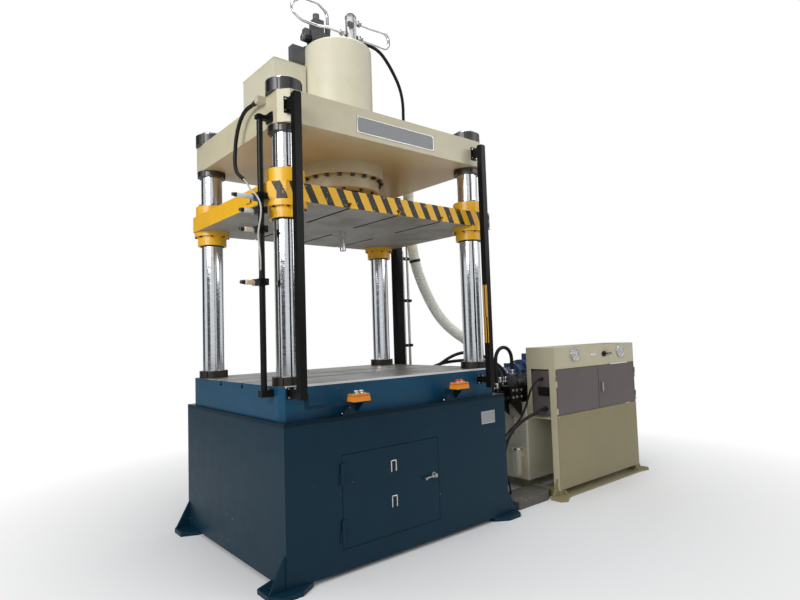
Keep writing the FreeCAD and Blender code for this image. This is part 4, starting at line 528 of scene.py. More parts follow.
class Effects:
    """Shader groups that several finishes share, each built once."""

    def __init__(self) -> None:
        """Build every group."""
        self.finished: dict[str, bpy.types.Material] = {}
        self.grime = self.build_grime()
        self.coat = self.build_coat()
        self.grain = self.build_grain()
        self.stripes = self.build_stripes()
        self.faces = self.build_faces()

    def build_grime(self) -> bpy.types.NodeTree:
        """Dust that lies on faces that look up and settles near the floor, and run marks on upright faces.

        Returns:
            A group that turns a colour and a roughness into dirty ones.
        """
        tree, n, given, out = new_group("workshop_grime", [
            ("Colour", Sort.COLOUR, (0.5, 0.5, 0.5, 1)), ("Roughness", Sort.NUMBER, 0.4),
            ("Dust", Sort.COLOUR, (0.30, 0.27, 0.22, 1)), ("Amount", Sort.NUMBER, 0.3),
            ("Low Edge", Sort.NUMBER, 0.25),
        ], [("Colour", Sort.COLOUR), ("Roughness", Sort.NUMBER), ("Mask", Sort.NUMBER)])
        place = n.place()
        z = n.axes(place)[2]
        ahead = n.axes(n.facing())
        cloud = n.noise(place, 2.6, 5.0, 0.62)
        fine = n.noise(place, 34.0, 3.0, 0.7)
        upward = n.ramp(ahead[2], 0.35, 0.95)
        floor_dust = n.ramp(z, 0.0, given["Low Edge"], 1.0, 0.0)
        runs = n.noise(n.stretched(place, (26.0, 26.0, 1.3)), 1.0, 2.0, 0.5)
        runs = n.ramp(runs, 0.56, 0.80)
        base = n.math("MULTIPLY", n.ramp(cloud, 0.42, 0.75), 0.55)
        for part, share in ((upward, 0.55), (floor_dust, 0.75), (runs, 0.22)):
            base = n.math("ADD", base, n.math("MULTIPLY", part, share))
        speck = n.ramp(fine, 0.30, 0.75, 0.55, 1.0)
        mask = n.math("MULTIPLY", n.math("MULTIPLY", base, speck), given["Amount"], clamp=True)
        n.feed(n.mix(mask, given["Colour"], given["Dust"]), out["Colour"])
        n.feed(n.math("ADD", given["Roughness"], n.math("MULTIPLY", mask, 0.35), clamp=True),
               out["Roughness"])
        n.feed(mask, out["Mask"])
        return tree

    def build_coat(self) -> bpy.types.NodeTree:
        """Sprayed paint: slow colour drift, orange peel, scuffs, and chips that show primer.

        Returns:
            A group with colour, roughness and bump height.
        """
        tree, n, given, out = new_group("sprayed_coat", [
            ("Colour", Sort.COLOUR, (0.5, 0.5, 0.5, 1)), ("Drift", Sort.NUMBER, 0.10),
            ("Roughness", Sort.NUMBER, 0.38), ("Peel", Sort.NUMBER, 0.5), ("Chips", Sort.NUMBER, 0.2),
            ("Primer", Sort.COLOUR, (0.28, 0.26, 0.24, 1)),
        ], [("Colour", Sort.COLOUR), ("Roughness", Sort.NUMBER), ("Height", Sort.NUMBER)])
        place = n.place()
        drift = n.ramp(n.noise(place, 0.9, 3.0, 0.55), 0.3, 0.7, -1.0, 1.0)
        mottle = n.ramp(n.noise(place, 11.0, 2.0, 0.6), 0.3, 0.7, -0.35, 0.35)
        gain = n.math("ADD", 1.0, n.math("MULTIPLY", n.math("ADD", drift, mottle), given["Drift"]))
        scuff = n.noise(n.stretched(place, (60.0, 60.0, 9.0)), 1.0, 3.0, 0.6)
        scuff = n.ramp(scuff, 0.62, 0.78, 0.0, 0.14)
        chip_field = n.math("ADD", n.noise(place, 46.0, 2.0, 0.7),
                            n.math("MULTIPLY", n.noise(place, 3.1, 2.0, 0.5), 0.6))
        limit = n.ramp(given["Chips"], 0.0, 1.0, 1.12, 0.90)
        chip = n.ramp(chip_field, limit, n.math("ADD", limit, 0.015))
        chip = n.math("MULTIPLY", chip, n.math("GREATER_THAN", given["Chips"], 0.001))
        peel = n.noise(place, 420.0, 1.0, 0.4)
        n.feed(n.mix(chip, n.scaled(given["Colour"], gain), given["Primer"]), out["Colour"])
        rough = n.math("ADD", given["Roughness"], n.math("ADD", scuff, n.math("MULTIPLY", mottle, 0.10)))
        n.feed(n.math("ADD", rough, n.math("MULTIPLY", chip, 0.30), clamp=True), out["Roughness"])
        height = n.math("SUBTRACT", n.math("MULTIPLY", peel, given["Peel"]), n.math("MULTIPLY", chip, 0.9))
        n.feed(height, out["Height"])
        return tree

    def build_grain(self) -> bpy.types.NodeTree:
        """Cutter or grinder marks along one axis, with oil stains and a few rust spots.

        Returns:
            A group with colour, roughness and bump height.
        """
        tree, n, given, out = new_group("machined_grain", [
            ("Colour", Sort.COLOUR, (0.5, 0.5, 0.5, 1)), ("Roughness", Sort.NUMBER, 0.3),
            ("Across", Sort.VECTOR, (900.0, 900.0, 12.0)), ("Stain", Sort.COLOUR, (0.12, 0.10, 0.07, 1)),
            ("Stain Amount", Sort.NUMBER, 0.2), ("Depth", Sort.NUMBER, 0.4),
        ], [("Colour", Sort.COLOUR), ("Roughness", Sort.NUMBER), ("Height", Sort.NUMBER)])
        place = n.place()
        lines = n.add("ShaderNodeVectorMath", operation="MULTIPLY")
        n.feed(place, lines.inputs[0])
        n.feed(given["Across"], lines.inputs[1])
        marks = n.noise(lines.outputs[0], 1.0, 2.0, 0.6)
        smear = n.ramp(n.noise(place, 3.4, 4.0, 0.6), 0.44, 0.74)
        spots = n.ramp(n.noise(place, 60.0, 2.0, 0.5), 0.66, 0.74)
        stain = n.math("MULTIPLY", n.math("ADD", smear, n.math("MULTIPLY", spots, 0.5)),
                       given["Stain Amount"], clamp=True)
        shade = n.ramp(marks, 0.25, 0.75, 0.86, 1.10)
        n.feed(n.mix(stain, n.scaled(given["Colour"], shade), given["Stain"]), out["Colour"])
        rough = n.math("ADD", given["Roughness"], n.ramp(marks, 0.2, 0.8, -0.05, 0.09))
        n.feed(n.math("ADD", rough, n.math("MULTIPLY", stain, 0.25), clamp=True), out["Roughness"])
        n.feed(n.math("MULTIPLY", marks, given["Depth"]), out["Height"])
        return tree

    def build_stripes(self) -> bpy.types.NodeTree:
        """Slanted warning bands on the faces that look forward, with worn edges.

        Returns:
            A group that gives the share of black at a place.
        """
        tree, n, given, out = new_group("warning_bands", [
            ("Pitch", Sort.NUMBER, 0.1), ("Slope", Sort.NUMBER, 1.0), ("Share", Sort.NUMBER, 0.5),
            ("Start", Sort.NUMBER, 0.0), ("Corner", Sort.NUMBER, 0.7),
        ], [("Mask", Sort.NUMBER)])
        place = n.place()
        x, _, z = n.axes(place)
        ahead = n.axes(n.facing())
        across = n.math("ADD", x, n.math("MULTIPLY", z, given["Slope"]))
        ragged = n.math("MULTIPLY", n.math("SUBTRACT", n.noise(place, 90.0, 2.0, 0.6), 0.5), 0.004)
        across = n.math("ADD", n.math("SUBTRACT", across, given["Start"]), ragged)
        beyond = n.math("MINIMUM", n.math("ADD", x, given["Corner"]), 0.0)
        across = n.math("ADD", across, n.math("MULTIPLY", beyond, math.sqrt(2) - 1))
        phase = n.math("FRACT", n.math("DIVIDE", across, given["Pitch"]))
        band = n.math("LESS_THAN", phase, given["Share"])
        forward = n.math("LESS_THAN", ahead[1], -0.5)
        rubbed = n.ramp(n.noise(place, 55.0, 3.0, 0.7), 0.30, 0.36)
        n.feed(n.math("MULTIPLY", n.math("MULTIPLY", band, forward), rubbed), out["Mask"])
        return tree

    def build_faces(self) -> bpy.types.NodeTree:
        """The faces that look straight up or down, and the walls of the slots cut into them.

        Returns:
            A group with a mask of the level faces and a mask of the walls inside the outline.
        """
        tree, n, given, out = new_group("level_faces", [
            ("Facing", Sort.NUMBER, 1.0), ("Reach X", Sort.NUMBER, 0.8), ("Reach Y", Sort.NUMBER, 0.5),
        ], [("Level", Sort.NUMBER), ("Walls", Sort.NUMBER)])
        x, y, _ = n.axes(n.place())
        turned = n.math("MULTIPLY", n.axes(n.facing())[2], given["Facing"])
        n.feed(n.math("GREATER_THAN", turned, 0.95), out["Level"])
        inside = n.math("MULTIPLY", n.math("LESS_THAN", n.math("ABSOLUTE", x), given["Reach X"]),
                        n.math("LESS_THAN", n.math("ABSOLUTE", y), given["Reach Y"]))
        n.feed(n.math("MULTIPLY", inside, n.math("LESS_THAN", n.math("ABSOLUTE", turned), 0.95)),
               out["Walls"])
        return tree


# ---------------------------------------------------------------- finishes
class Finish:
    """A material with the press's own name for it."""

    slot: str
    label: str

    def material(self, effects: Effects) -> bpy.types.Material:
        """The finished material, built once."""
        if self.label not in effects.finished:
            effects.finished[self.label] = self.build(effects)
        return effects.finished[self.label]

    def build(self, effects: Effects) -> bpy.types.Material:
        """Build the material; each kind of finish has its own."""
        raise NotImplementedError

    def start(self) -> tuple[bpy.types.Material, Nodes, bpy.types.Node]:
        """A new material, its node helper and its Principled shader."""
        made = bpy.data.materials.new(f"{self.label}_finish")
        made.use_nodes = True
        nodes = Nodes(made.node_tree)
        return made, nodes, made.node_tree.nodes["Principled BSDF"]


def put(nodes: Nodes, group: bpy.types.NodeTree, **values: object) -> bpy.types.Node:
    """Place a shader group and fill its inputs."""
    return nodes.fill(nodes.add("ShaderNodeGroup", node_tree=group), **values)


def bump(nodes: Nodes, height: bpy.types.NodeSocket, distance: float,
         strength: float) -> bpy.types.NodeSocket:
    """The normal of a Bump node on a height; distance is the depth of a height of 1, in metres."""
    node = nodes.add("ShaderNodeBump")
    return nodes.fill(node, Distance=distance, Strength=strength, Height=height).outputs[0]


@dataclass(frozen=True)
class Paint(Finish):
    """Sprayed machine paint."""

    label: str
    colour: Colour
    slot: str = "cream_paint"
    rough: float = 0.36
    drift: float = 0.08
    chips: float = 0.25
    dust: float = 0.35
    dust_colour: Colour = (0.32, 0.29, 0.24)
    low_edge: float = 0.3
    coat: float = 0.25
    shine: float = 0.5

    def build(self, effects: Effects) -> bpy.types.Material:
        """Coat, then grime over it."""
        made, n, shader = self.start()
        coat = put(n, effects.coat, Colour=(*self.colour, 1), Drift=self.drift, Roughness=self.rough,
                   Chips=self.chips)
        dirt = put(n, effects.grime, Colour=coat.outputs[0], Roughness=coat.outputs[1],
                   Dust=(*self.dust_colour, 1), Amount=self.dust, Low_Edge=self.low_edge)
        n.fill(shader, Base_Color=dirt.outputs[0], Roughness=dirt.outputs[1],
               Normal=bump(n, coat.outputs[2], 0.00025, 0.6), Specular_IOR_Level=self.shine,
               Coat_Weight=self.coat, Coat_Roughness=0.22)
        return made


@dataclass(frozen=True)
class FacedPaint(Paint):
    """Machine paint with the faces that look one way left as bare machined steel, and warning bands."""

    facing: float = 1.0
    bare: Colour = (0.40, 0.375, 0.33)
    bare_rough: float = 0.36
    bare_metal: float = 0.75
    bands: bool = False
    reach: tuple[float, float] = (0.800, 0.590)

    def build(self, effects: Effects) -> bpy.types.Material:
        """Coat, bands, grime, painted shade on the slot walls, then bare steel where the faces were machined.
        """
        made, n, shader = self.start()
        coat = put(n, effects.coat, Colour=(*self.colour, 1), Drift=self.drift, Roughness=self.rough,
                   Chips=self.chips)
        colour = coat.outputs[0]
        if self.bands:
            bands = put(n, effects.stripes, Pitch=0.104, Slope=0.5, Share=0.46, Start=0.3735)
            colour = n.mix(bands.outputs[0], colour, (0.006, 0.005, 0.004, 1))
        dirt = put(n, effects.grime, Colour=colour, Roughness=coat.outputs[1], Dust=(*self.dust_colour, 1),
                   Amount=self.dust, Low_Edge=self.low_edge)
        grain = put(n, effects.grain, Colour=(*self.bare, 1), Roughness=self.bare_rough,
                    Across=(9.0, 420.0, 420.0), Stain=(0.16, 0.12, 0.08, 1), Stain_Amount=0.55, Depth=0.5)
        where = put(n, effects.faces, Facing=self.facing, Reach_X=self.reach[0], Reach_Y=self.reach[1])
        side = where.outputs[0]
        # The walls of the slots inside the outline are painted near black: painted shade in the slots.
        skin = n.mix(where.outputs[1], dirt.outputs[0], (0.030, 0.028, 0.026, 1))
        rough = n.math("ADD", n.math("MULTIPLY", dirt.outputs[1], n.math("SUBTRACT", 1.0, side)),
                       n.math("MULTIPLY", grain.outputs[1], side))
        n.fill(shader, Base_Color=n.mix(side, skin, grain.outputs[0]), Roughness=rough,
               Metallic=n.math("MULTIPLY", side, self.bare_metal),
               Normal=bump(n, coat.outputs[2], 0.00025, 0.5), Specular_IOR_Level=self.shine,
               Coat_Weight=self.coat * 0.5, Coat_Roughness=0.25)
        return made


@dataclass(frozen=True)
class Metal(Finish):
    """Bare machined, ground or plated metal."""

    label: str
    colour: Colour
    slot: str = "ground_steel"
    rough: float = 0.30
    across: Point = (14.0, 700.0, 700.0)
    stain: float = 0.25
    stain_colour: Colour = (0.10, 0.08, 0.05)
    depth: float = 0.4
    dust: float = 0.1

    def build(self, effects: Effects) -> bpy.types.Material:
        """Grain, then a little grime."""
        made, n, shader = self.start()
        grain = put(n, effects.grain, Colour=(*self.colour, 1), Roughness=self.rough, Across=self.across,
                    Stain=(*self.stain_colour, 1), Stain_Amount=self.stain, Depth=self.depth)
        dirt = put(n, effects.grime, Colour=grain.outputs[0], Roughness=grain.outputs[1], Amount=self.dust)
        n.fill(shader, Base_Color=dirt.outputs[0], Roughness=dirt.outputs[1],
               Metallic=n.ramp(dirt.outputs[2], 0.0, 1.0, 1.0, 0.35),
               Normal=bump(n, grain.outputs[2], 0.0001, 0.35))
        return made


@dataclass(frozen=True)
class Moulded(Finish):
    """Moulded plastic or rubber with a fine texture."""

    label: str
    colour: Colour
    slot: str = "black_plastic"
    rough: float = 0.45
    texture: float = 0.4
    dust: float = 0.25
    drift: float = 0.05
    shine: float = 0.5

    def build(self, effects: Effects) -> bpy.types.Material:
        """The coat group without chips, then dust."""
        made, n, shader = self.start()
        skin = put(n, effects.coat, Colour=(*self.colour, 1), Drift=self.drift, Roughness=self.rough,
                   Peel=self.texture, Chips=0.0)
        dirt = put(n, effects.grime, Colour=skin.outputs[0], Roughness=skin.outputs[1], Amount=self.dust)
        n.fill(shader, Base_Color=dirt.outputs[0], Roughness=dirt.outputs[1],
               Normal=bump(n, skin.outputs[2], 0.0002, 0.5), Specular_IOR_Level=self.shine)
        return made


@dataclass(frozen=True)
class Lens(Finish):
    """Clear or tinted glass and lens plastic."""

    label: str
    colour: Colour
    slot: str = ""
    rough: float = 0.06

    def build(self, effects: Effects) -> bpy.types.Material:
        """Transmission with faint dust in its roughness."""
        made, n, shader = self.start()
        place = n.place()
        rough = n.ramp(n.noise(place, 22.0, 3.0, 0.6), 0.35, 0.75, self.rough, self.rough + 0.12)
        n.fill(shader, Roughness=rough, Base_Color=(*self.colour, 1), Transmission_Weight=1.0, IOR=1.46)
        return made


class Kit:
    """Everything a sub-assembly needs to put a piece into the scene."""

    def __init__(self) -> None:
        """Build the shared shader groups."""
        self.effects = Effects()
        self.count = 0

    def dress(self, node: str, finish: Finish) -> None:
        """Give a CAD node its finish."""
        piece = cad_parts[node]
        material = finish.material(self.effects)
        if not piece.data.materials:
            piece.data.materials.append(material)
        for number in range(len(piece.data.materials)):
            piece.data.materials[number] = material

    def piece(self, name: str, shape: Shape, finish: Finish, body: str = "frame", smooth: float = 35.0,
              replaces: tuple[str, ...] = ()) -> bpy.types.Object:
        """Put a shape into the scene as a finished piece.

        Args:
            name: The piece's name.
            shape: Its surface.
            finish: Its finish.
            body: The CAD body that it rides on.
            smooth: Edges sharper than this many degrees stay sharp.
            replaces: CAD nodes that it stands for.

        Returns:
            The new object.
        """
        mesh = bpy.data.meshes.new(name)
        polygons = [row.tolist() for block in shape.faces for row in block]
        mesh.from_pydata(shape.points.tolist(), [], polygons)
        mesh.update()
        mesh.validate()
        made = bpy.data.objects.new(name, mesh)
        bpy.context.scene.collection.objects.link(made)
        mesh.materials.append(finish.material(self.effects))
        mesh.polygons.foreach_set("use_smooth", np.ones(len(mesh.polygons), dtype=bool))
        mesh.set_sharp_from_angle(angle=math.radians(smooth))
        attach(made, body)
        if replaces:
            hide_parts(*replaces)
        self.count += 1
        LOG.info("%s: %d points on %s", name, len(shape.points), body)
        return made


# ---------------------------------------------------------------- the finishes of this press
CREAM = Paint("cream_paint", (0.73, 0.69, 0.53), "cream_paint", rough=0.34, dust=0.14,
              dust_colour=(0.46, 0.41, 0.29))
CROWN_CREAM = Paint("crown_cream_paint", (0.60, 0.545, 0.375), "cream_paint", rough=0.36, dust=0.18,
                    dust_colour=(0.38, 0.32, 0.21))
TEAL = Paint("teal_paint", (0.0020, 0.0250, 0.0460), "teal_paint", rough=0.38, chips=0.06, dust=0.07,
             dust_colour=(0.03, 0.05, 0.06), low_edge=0.30, coat=0.04, shine=0.16)
BED_BLUE = FacedPaint("bed_blue_paint", (0.0045, 0.062, 0.125), "bed_paint", rough=0.36, chips=0.14,
                      dust=0.10, dust_colour=(0.07, 0.10, 0.12), coat=0.10, shine=0.26,
                      bare=(0.31, 0.29, 0.255))
# The ledge's blue is made far darker than the bed's: painted shade under the bed's overhang.
LEDGE_SHADED_BLUE = Paint("ledge_shaded_blue_paint", (0.0012, 0.013, 0.023), "bed_paint", rough=0.38, chips=0.12, dust=0.10,
                   dust_colour=(0.04, 0.06, 0.07), coat=0.03, shine=0.12)
YELLOW = FacedPaint("platen_yellow_paint", (0.84, 0.45, 0.012), "yellow_paint", rough=0.32, chips=0.22,
                    dust=0.06, dust_colour=(0.20, 0.15, 0.09), facing=-1.0, bare=(0.37, 0.355, 0.32),
                    bare_metal=0.35, bare_rough=0.48, bands=True, coat=0.08, shine=0.25)
BUSH_YELLOW = Paint("bush_yellow_paint", (0.84, 0.45, 0.012), "yellow_paint", rough=0.30, chips=0.30,
                    dust=0.10, dust_colour=(0.36, 0.26, 0.14))
OLIVE = Paint("olive_cream_paint", (0.265, 0.225, 0.118), "olive_paint", rough=0.36, dust=0.12, coat=0.12,
              shine=0.35)
STRIP_CREAM = Paint("strip_cream_paint", (0.56, 0.51, 0.35), "olive_paint", rough=0.34, dust=0.10)
MAUVE = Paint("mauve_grey_paint", (0.130, 0.104, 0.104), "mauve_paint", rough=0.4, chips=0.10, dust=0.10,
              coat=0.10, shine=0.30)
BLACK = Paint("black_paint", (0.0045, 0.0045, 0.0045), "black_paint", rough=0.33, chips=0.05, dust=0.06,
              dust_colour=(0.05, 0.045, 0.04), coat=0.04, shine=0.18)
MOTOR_BLUE = Paint("motor_blue_paint", (0.016, 0.052, 0.15), "blue_paint", rough=0.4, dust=0.22, shine=0.35)
MACHINE_GREY = Paint("machine_grey_paint", (0.10, 0.104, 0.108), "grey_paint", rough=0.42, dust=0.22,
                     shine=0.35)
CHANNEL_GREY = Paint("channel_grey_paint", (0.050, 0.052, 0.054), "grey_paint", rough=0.5, chips=0.6,
                     dust=0.30, coat=0.05, shine=0.25)
CHROME = Metal("column_chrome", (0.80, 0.81, 0.82), "column_chrome", rough=0.10, across=(40.0, 40.0, 160.0),
               stain=0.05, depth=0.006, dust=0.03)
RAM_CHROME = Metal("ram_chrome", (0.78, 0.79, 0.80), "column_chrome", rough=0.12, across=(40.0, 40.0, 260.0),
                   stain=0.05, depth=0.01, dust=0.03)
GROUND = Metal("ground_steel", (0.50, 0.50, 0.49), "ground_steel", rough=0.28, stain=0.30)
BRIGHT = Metal("bright_worn_edge", (0.86, 0.86, 0.84), "ground_steel", rough=0.30, stain=0.05, dust=0.02)
BLACKED = Metal("blacked_steel", (0.045, 0.043, 0.042), "black_steel", rough=0.34,
                across=(300.0, 300.0, 300.0), stain=0.25, dust=0.15)
NUT_STEEL = Metal("dark_nut_steel", (0.085, 0.084, 0.084), "black_steel", rough=0.30,
                  across=(200.0, 200.0, 60.0), stain=0.30, dust=0.15)
PLATED = Metal("plated_fittings", (0.62, 0.61, 0.58), "ground_steel", rough=0.22,
               across=(220.0, 220.0, 220.0), stain=0.15, depth=0.2)
ALUMINIUM = Metal("brushed_plate", (0.42, 0.43, 0.44), "plate_metal", rough=0.36, across=(9.0, 900.0, 900.0),
                  stain=0.08, depth=0.3)
PLATE_GREY = Moulded("name_plate_grey", (0.30, 0.30, 0.31), "plate_metal", rough=0.50, texture=0.1, dust=0.10)
# A pale matte finish that paints the bright highlight along the bed's front top edge.
EDGE_HIGHLIGHT = Moulded("painted_edge_highlight", (0.72, 0.74, 0.74), "ground_steel", rough=0.35, texture=0.2,
                    dust=0.05)
ORANGE = Moulded("orange_box_plastic", (0.86, 0.27, 0.010), "orange_plastic", rough=0.30, dust=0.10)
RED = Moulded("red_button_plastic", (0.66, 0.018, 0.012), "red_plastic", rough=0.22, dust=0.05)
GREEN = Moulded("green_button_plastic", (0.10, 0.34, 0.13), "green_plastic", rough=0.24, dust=0.05)
BLACK_PLASTIC = Moulded("black_plastic", (0.008, 0.008, 0.009), "black_plastic", rough=0.36, dust=0.08,
                        shine=0.3)
WHITE_PLASTIC = Moulded("white_plastic", (0.72, 0.72, 0.69), "black_plastic", rough=0.30, dust=0.10)
DIAL_WHITE = Moulded("dial_white", (0.62, 0.60, 0.63), "black_plastic", rough=0.45, texture=0.1, dust=0.03)
PALE_WIRE = Moulded("pale_wire", (0.52, 0.50, 0.44), "hose_rubber", rough=0.42, texture=0.3, dust=0.20)
RUBBER = Moulded("hose_rubber", (0.007, 0.007, 0.008), "hose_rubber", rough=0.45, texture=0.8, dust=0.06,
                 shine=0.25)
HOSE_GREY = Moulded("ribbed_hose_plastic", (0.84, 0.86, 0.77), "hose_grey", rough=0.40, texture=0.3,
                    dust=0.16)
AMBER = Moulded("amber_lens", (0.66, 0.36, 0.06), "orange_plastic", rough=0.16, dust=0.04)
LENS_BROWN = Moulded("lens_brown", (0.13, 0.060, 0.018), "orange_plastic", rough=0.16, dust=0.04)
CLEAR = Lens("gauge_glass", (0.97, 0.98, 0.98))


# ---------------------------------------------------------------- camera, light, floor
@dataclass
class Studio:
    """The photograph's viewpoint, a soft studio light and a plain pale floor."""

    eye: Point = (-2.177, -3.202, 1.248)
    yaw: float = 39.88
    pitch: float = 3.47
    roll: float = -1.82
    focal_pixels: float = 563.2
    frame_pixels: float = 800.0
    floor_size: float = 40.0
    floor_middle: Point = (0.8, 0.0, 0.0)
    floor_fade: tuple[float, float] = (1.5, 3.6)
    ambient: float = 0.31
    reflected: float = 0.80
    panel_dark: float = 0.07
    panel_blur: float = 4.0
    dark_panels: tuple[tuple[float, float], ...] = ((-160.0, 17.0), (-57.0, 20.0), (22.0, 12.0),
                                                    (124.0, 22.0))

    def build(self) -> None:
        """Make the camera, the lamps, the world and the floor."""
        self.make_camera()
        self.make_lamps()
        self.make_world()
        self.make_floor()

    def make_camera(self) -> None:
        """Point the camera from its yaw, pitch and roll."""
        yaw, pitch, roll = (math.radians(a) for a in (self.yaw, self.pitch, self.roll))
        forward = Vector((math.sin(yaw) * math.cos(pitch), math.cos(yaw) * math.cos(pitch), math.sin(pitch)))
        level = Vector((math.cos(yaw), -math.sin(yaw), 0.0))
        over = level.cross(forward)
        right = level * math.cos(roll) + over * math.sin(roll)
        up = over * math.cos(roll) - level * math.sin(roll)
        data = bpy.data.cameras.new("photo_camera")
        data.sensor_fit = "HORIZONTAL"
        data.sensor_width = 36.0
        data.lens = self.focal_pixels / self.frame_pixels * data.sensor_width
        data.clip_end = 100.0
        camera = bpy.data.objects.new("photo_camera", data)
        turn = Matrix((right, up, -forward)).transposed().to_4x4()
        camera.matrix_world = Matrix.Translation(self.eye) @ turn
        bpy.context.scene.collection.objects.link(camera)
        bpy.context.scene.camera = camera

    def make_lamps(self) -> None:
        """A wide key at the left front, a fill at the right and a long overhead panel."""
        lamps = [
            ("key", (-6.6, -2.4, 4.2), (0.0, 0.0, 1.6), 4.5, 3.0, 300.0),
            ("fill", (4.6, -6.2, 4.0), (0.8, 0.0, 1.0), 4.5, 3.0, 115.0),
            ("overhead", (0.5, -0.5, 7.0), (0.5, 0.0, 0.0), 6.0, 3.0, 170.0),
        ]
        for name, place, target, width, height, power in lamps:
            data = bpy.data.lights.new(name, "AREA")
            data.shape = "RECTANGLE"
            data.size, data.size_y = width, height
            data.energy = power
            lamp = bpy.data.objects.new(name, data)
            lamp.location = place
            lamp.rotation_euler = (Vector(target) - Vector(place)).to_track_quat("-Z", "Y").to_euler()
            bpy.context.scene.collection.objects.link(lamp)

    def make_world(self) -> None:
        """White where the camera or a mirror looks, and a dimmer even light on the object."""
        world = bpy.data.worlds.new("studio")
        bpy.context.scene.world = world
        world.use_nodes = True
        n = Nodes(world.node_tree)
        world.node_tree.nodes.clear()
        path = n.add("ShaderNodeLightPath")
        seen = n.math("MAXIMUM", path.outputs["Is Camera Ray"], path.outputs["Is Transmission Ray"])
        glossy = path.outputs["Is Glossy Ray"]
        ambient = n.add("ShaderNodeBackground")
        ambient.inputs[0].default_value = (0.93, 0.96, 1.0, 1)
        x, y, _ = n.axes(n.add("ShaderNodeTexCoord").outputs["Generated"])
        azimuth = n.math("ARCTAN2", y, x)
        mirror = self.reflected
        for middle, half in self.dark_panels:
            off = n.math("ABSOLUTE", n.math("SUBTRACT", azimuth, math.radians(middle)))
            edges = math.radians(half - self.panel_blur), math.radians(half + self.panel_blur)
            mirror = n.math("MULTIPLY", mirror, n.ramp(off, *edges, self.panel_dark, 1.0))
        n.feed(n.math("ADD", n.math("MULTIPLY", mirror, glossy),
                      n.math("MULTIPLY", self.ambient, n.math("SUBTRACT", 1.0, glossy))), ambient.inputs[1])
        white = n.add("ShaderNodeBackground")
        white.inputs[0].default_value = (1, 1, 1, 1)
        blend = n.add("ShaderNodeMixShader")
        n.feed(seen, blend.inputs[0])
        n.feed(ambient.outputs[0], blend.inputs[1])
        n.feed(white.outputs[0], blend.inputs[2])
        n.feed(blend.outputs[0], n.add("ShaderNodeOutputWorld").inputs[0])

    def make_floor(self) -> None:
        """A pale sheet that keeps the shadow near the press and fades to white further out."""
        count = 9
        side = np.linspace(-self.floor_size / 2, self.floor_size / 2, count)
        x, y = np.meshgrid(side, side)
        points = np.stack([x, y, np.zeros_like(x)], axis=-1).reshape(-1, 3)
        mesh = bpy.data.meshes.new("studio_floor")
        mesh.from_pydata(points.tolist(), [], grid_faces(count, count).tolist())
        floor = bpy.data.objects.new("studio_floor", mesh)
        bpy.context.scene.collection.objects.link(floor)
        material = bpy.data.materials.new("pale_floor")
        material.use_nodes = True
        n = Nodes(material.node_tree)
        material.node_tree.nodes.clear()
        apart = n.add("ShaderNodeVectorMath", operation="DISTANCE")
        n.feed(n.place(), apart.inputs[0])
        n.feed(self.floor_middle, apart.inputs[1])
        fade = n.ramp(apart.outputs["Value"], *self.floor_fade)
        path = n.add("ShaderNodeLightPath")
        seen = n.math("MAXIMUM", path.outputs["Is Camera Ray"], path.outputs["Is Transmission Ray"])
        plain = n.add("ShaderNodeBsdfDiffuse")
        plain.inputs[0].default_value = (0.86, 0.86, 0.86, 1)
        white = n.add("ShaderNodeEmission")
        blend = n.add("ShaderNodeMixShader")
        n.feed(n.math("MULTIPLY", fade, seen), blend.inputs[0])
        n.feed(plain.outputs[0], blend.inputs[1])
        n.feed(white.outputs[0], blend.inputs[2])
        n.feed(blend.outputs[0], n.add("ShaderNodeOutputMaterial").inputs[0])
        mesh.materials.append(material)


# ---------------------------------------------------------------- hoses and cables
class Stiffness(Enum):
    """How readily a hose bends."""

    MEDIUM = "medium"
    STIFF = "stiff"


class EndKind(Enum):
    """What holds the ends of a hose or a cable."""

    CRIMPED = "crimped"
    RELIEF = "relief"
    BARE = "bare"


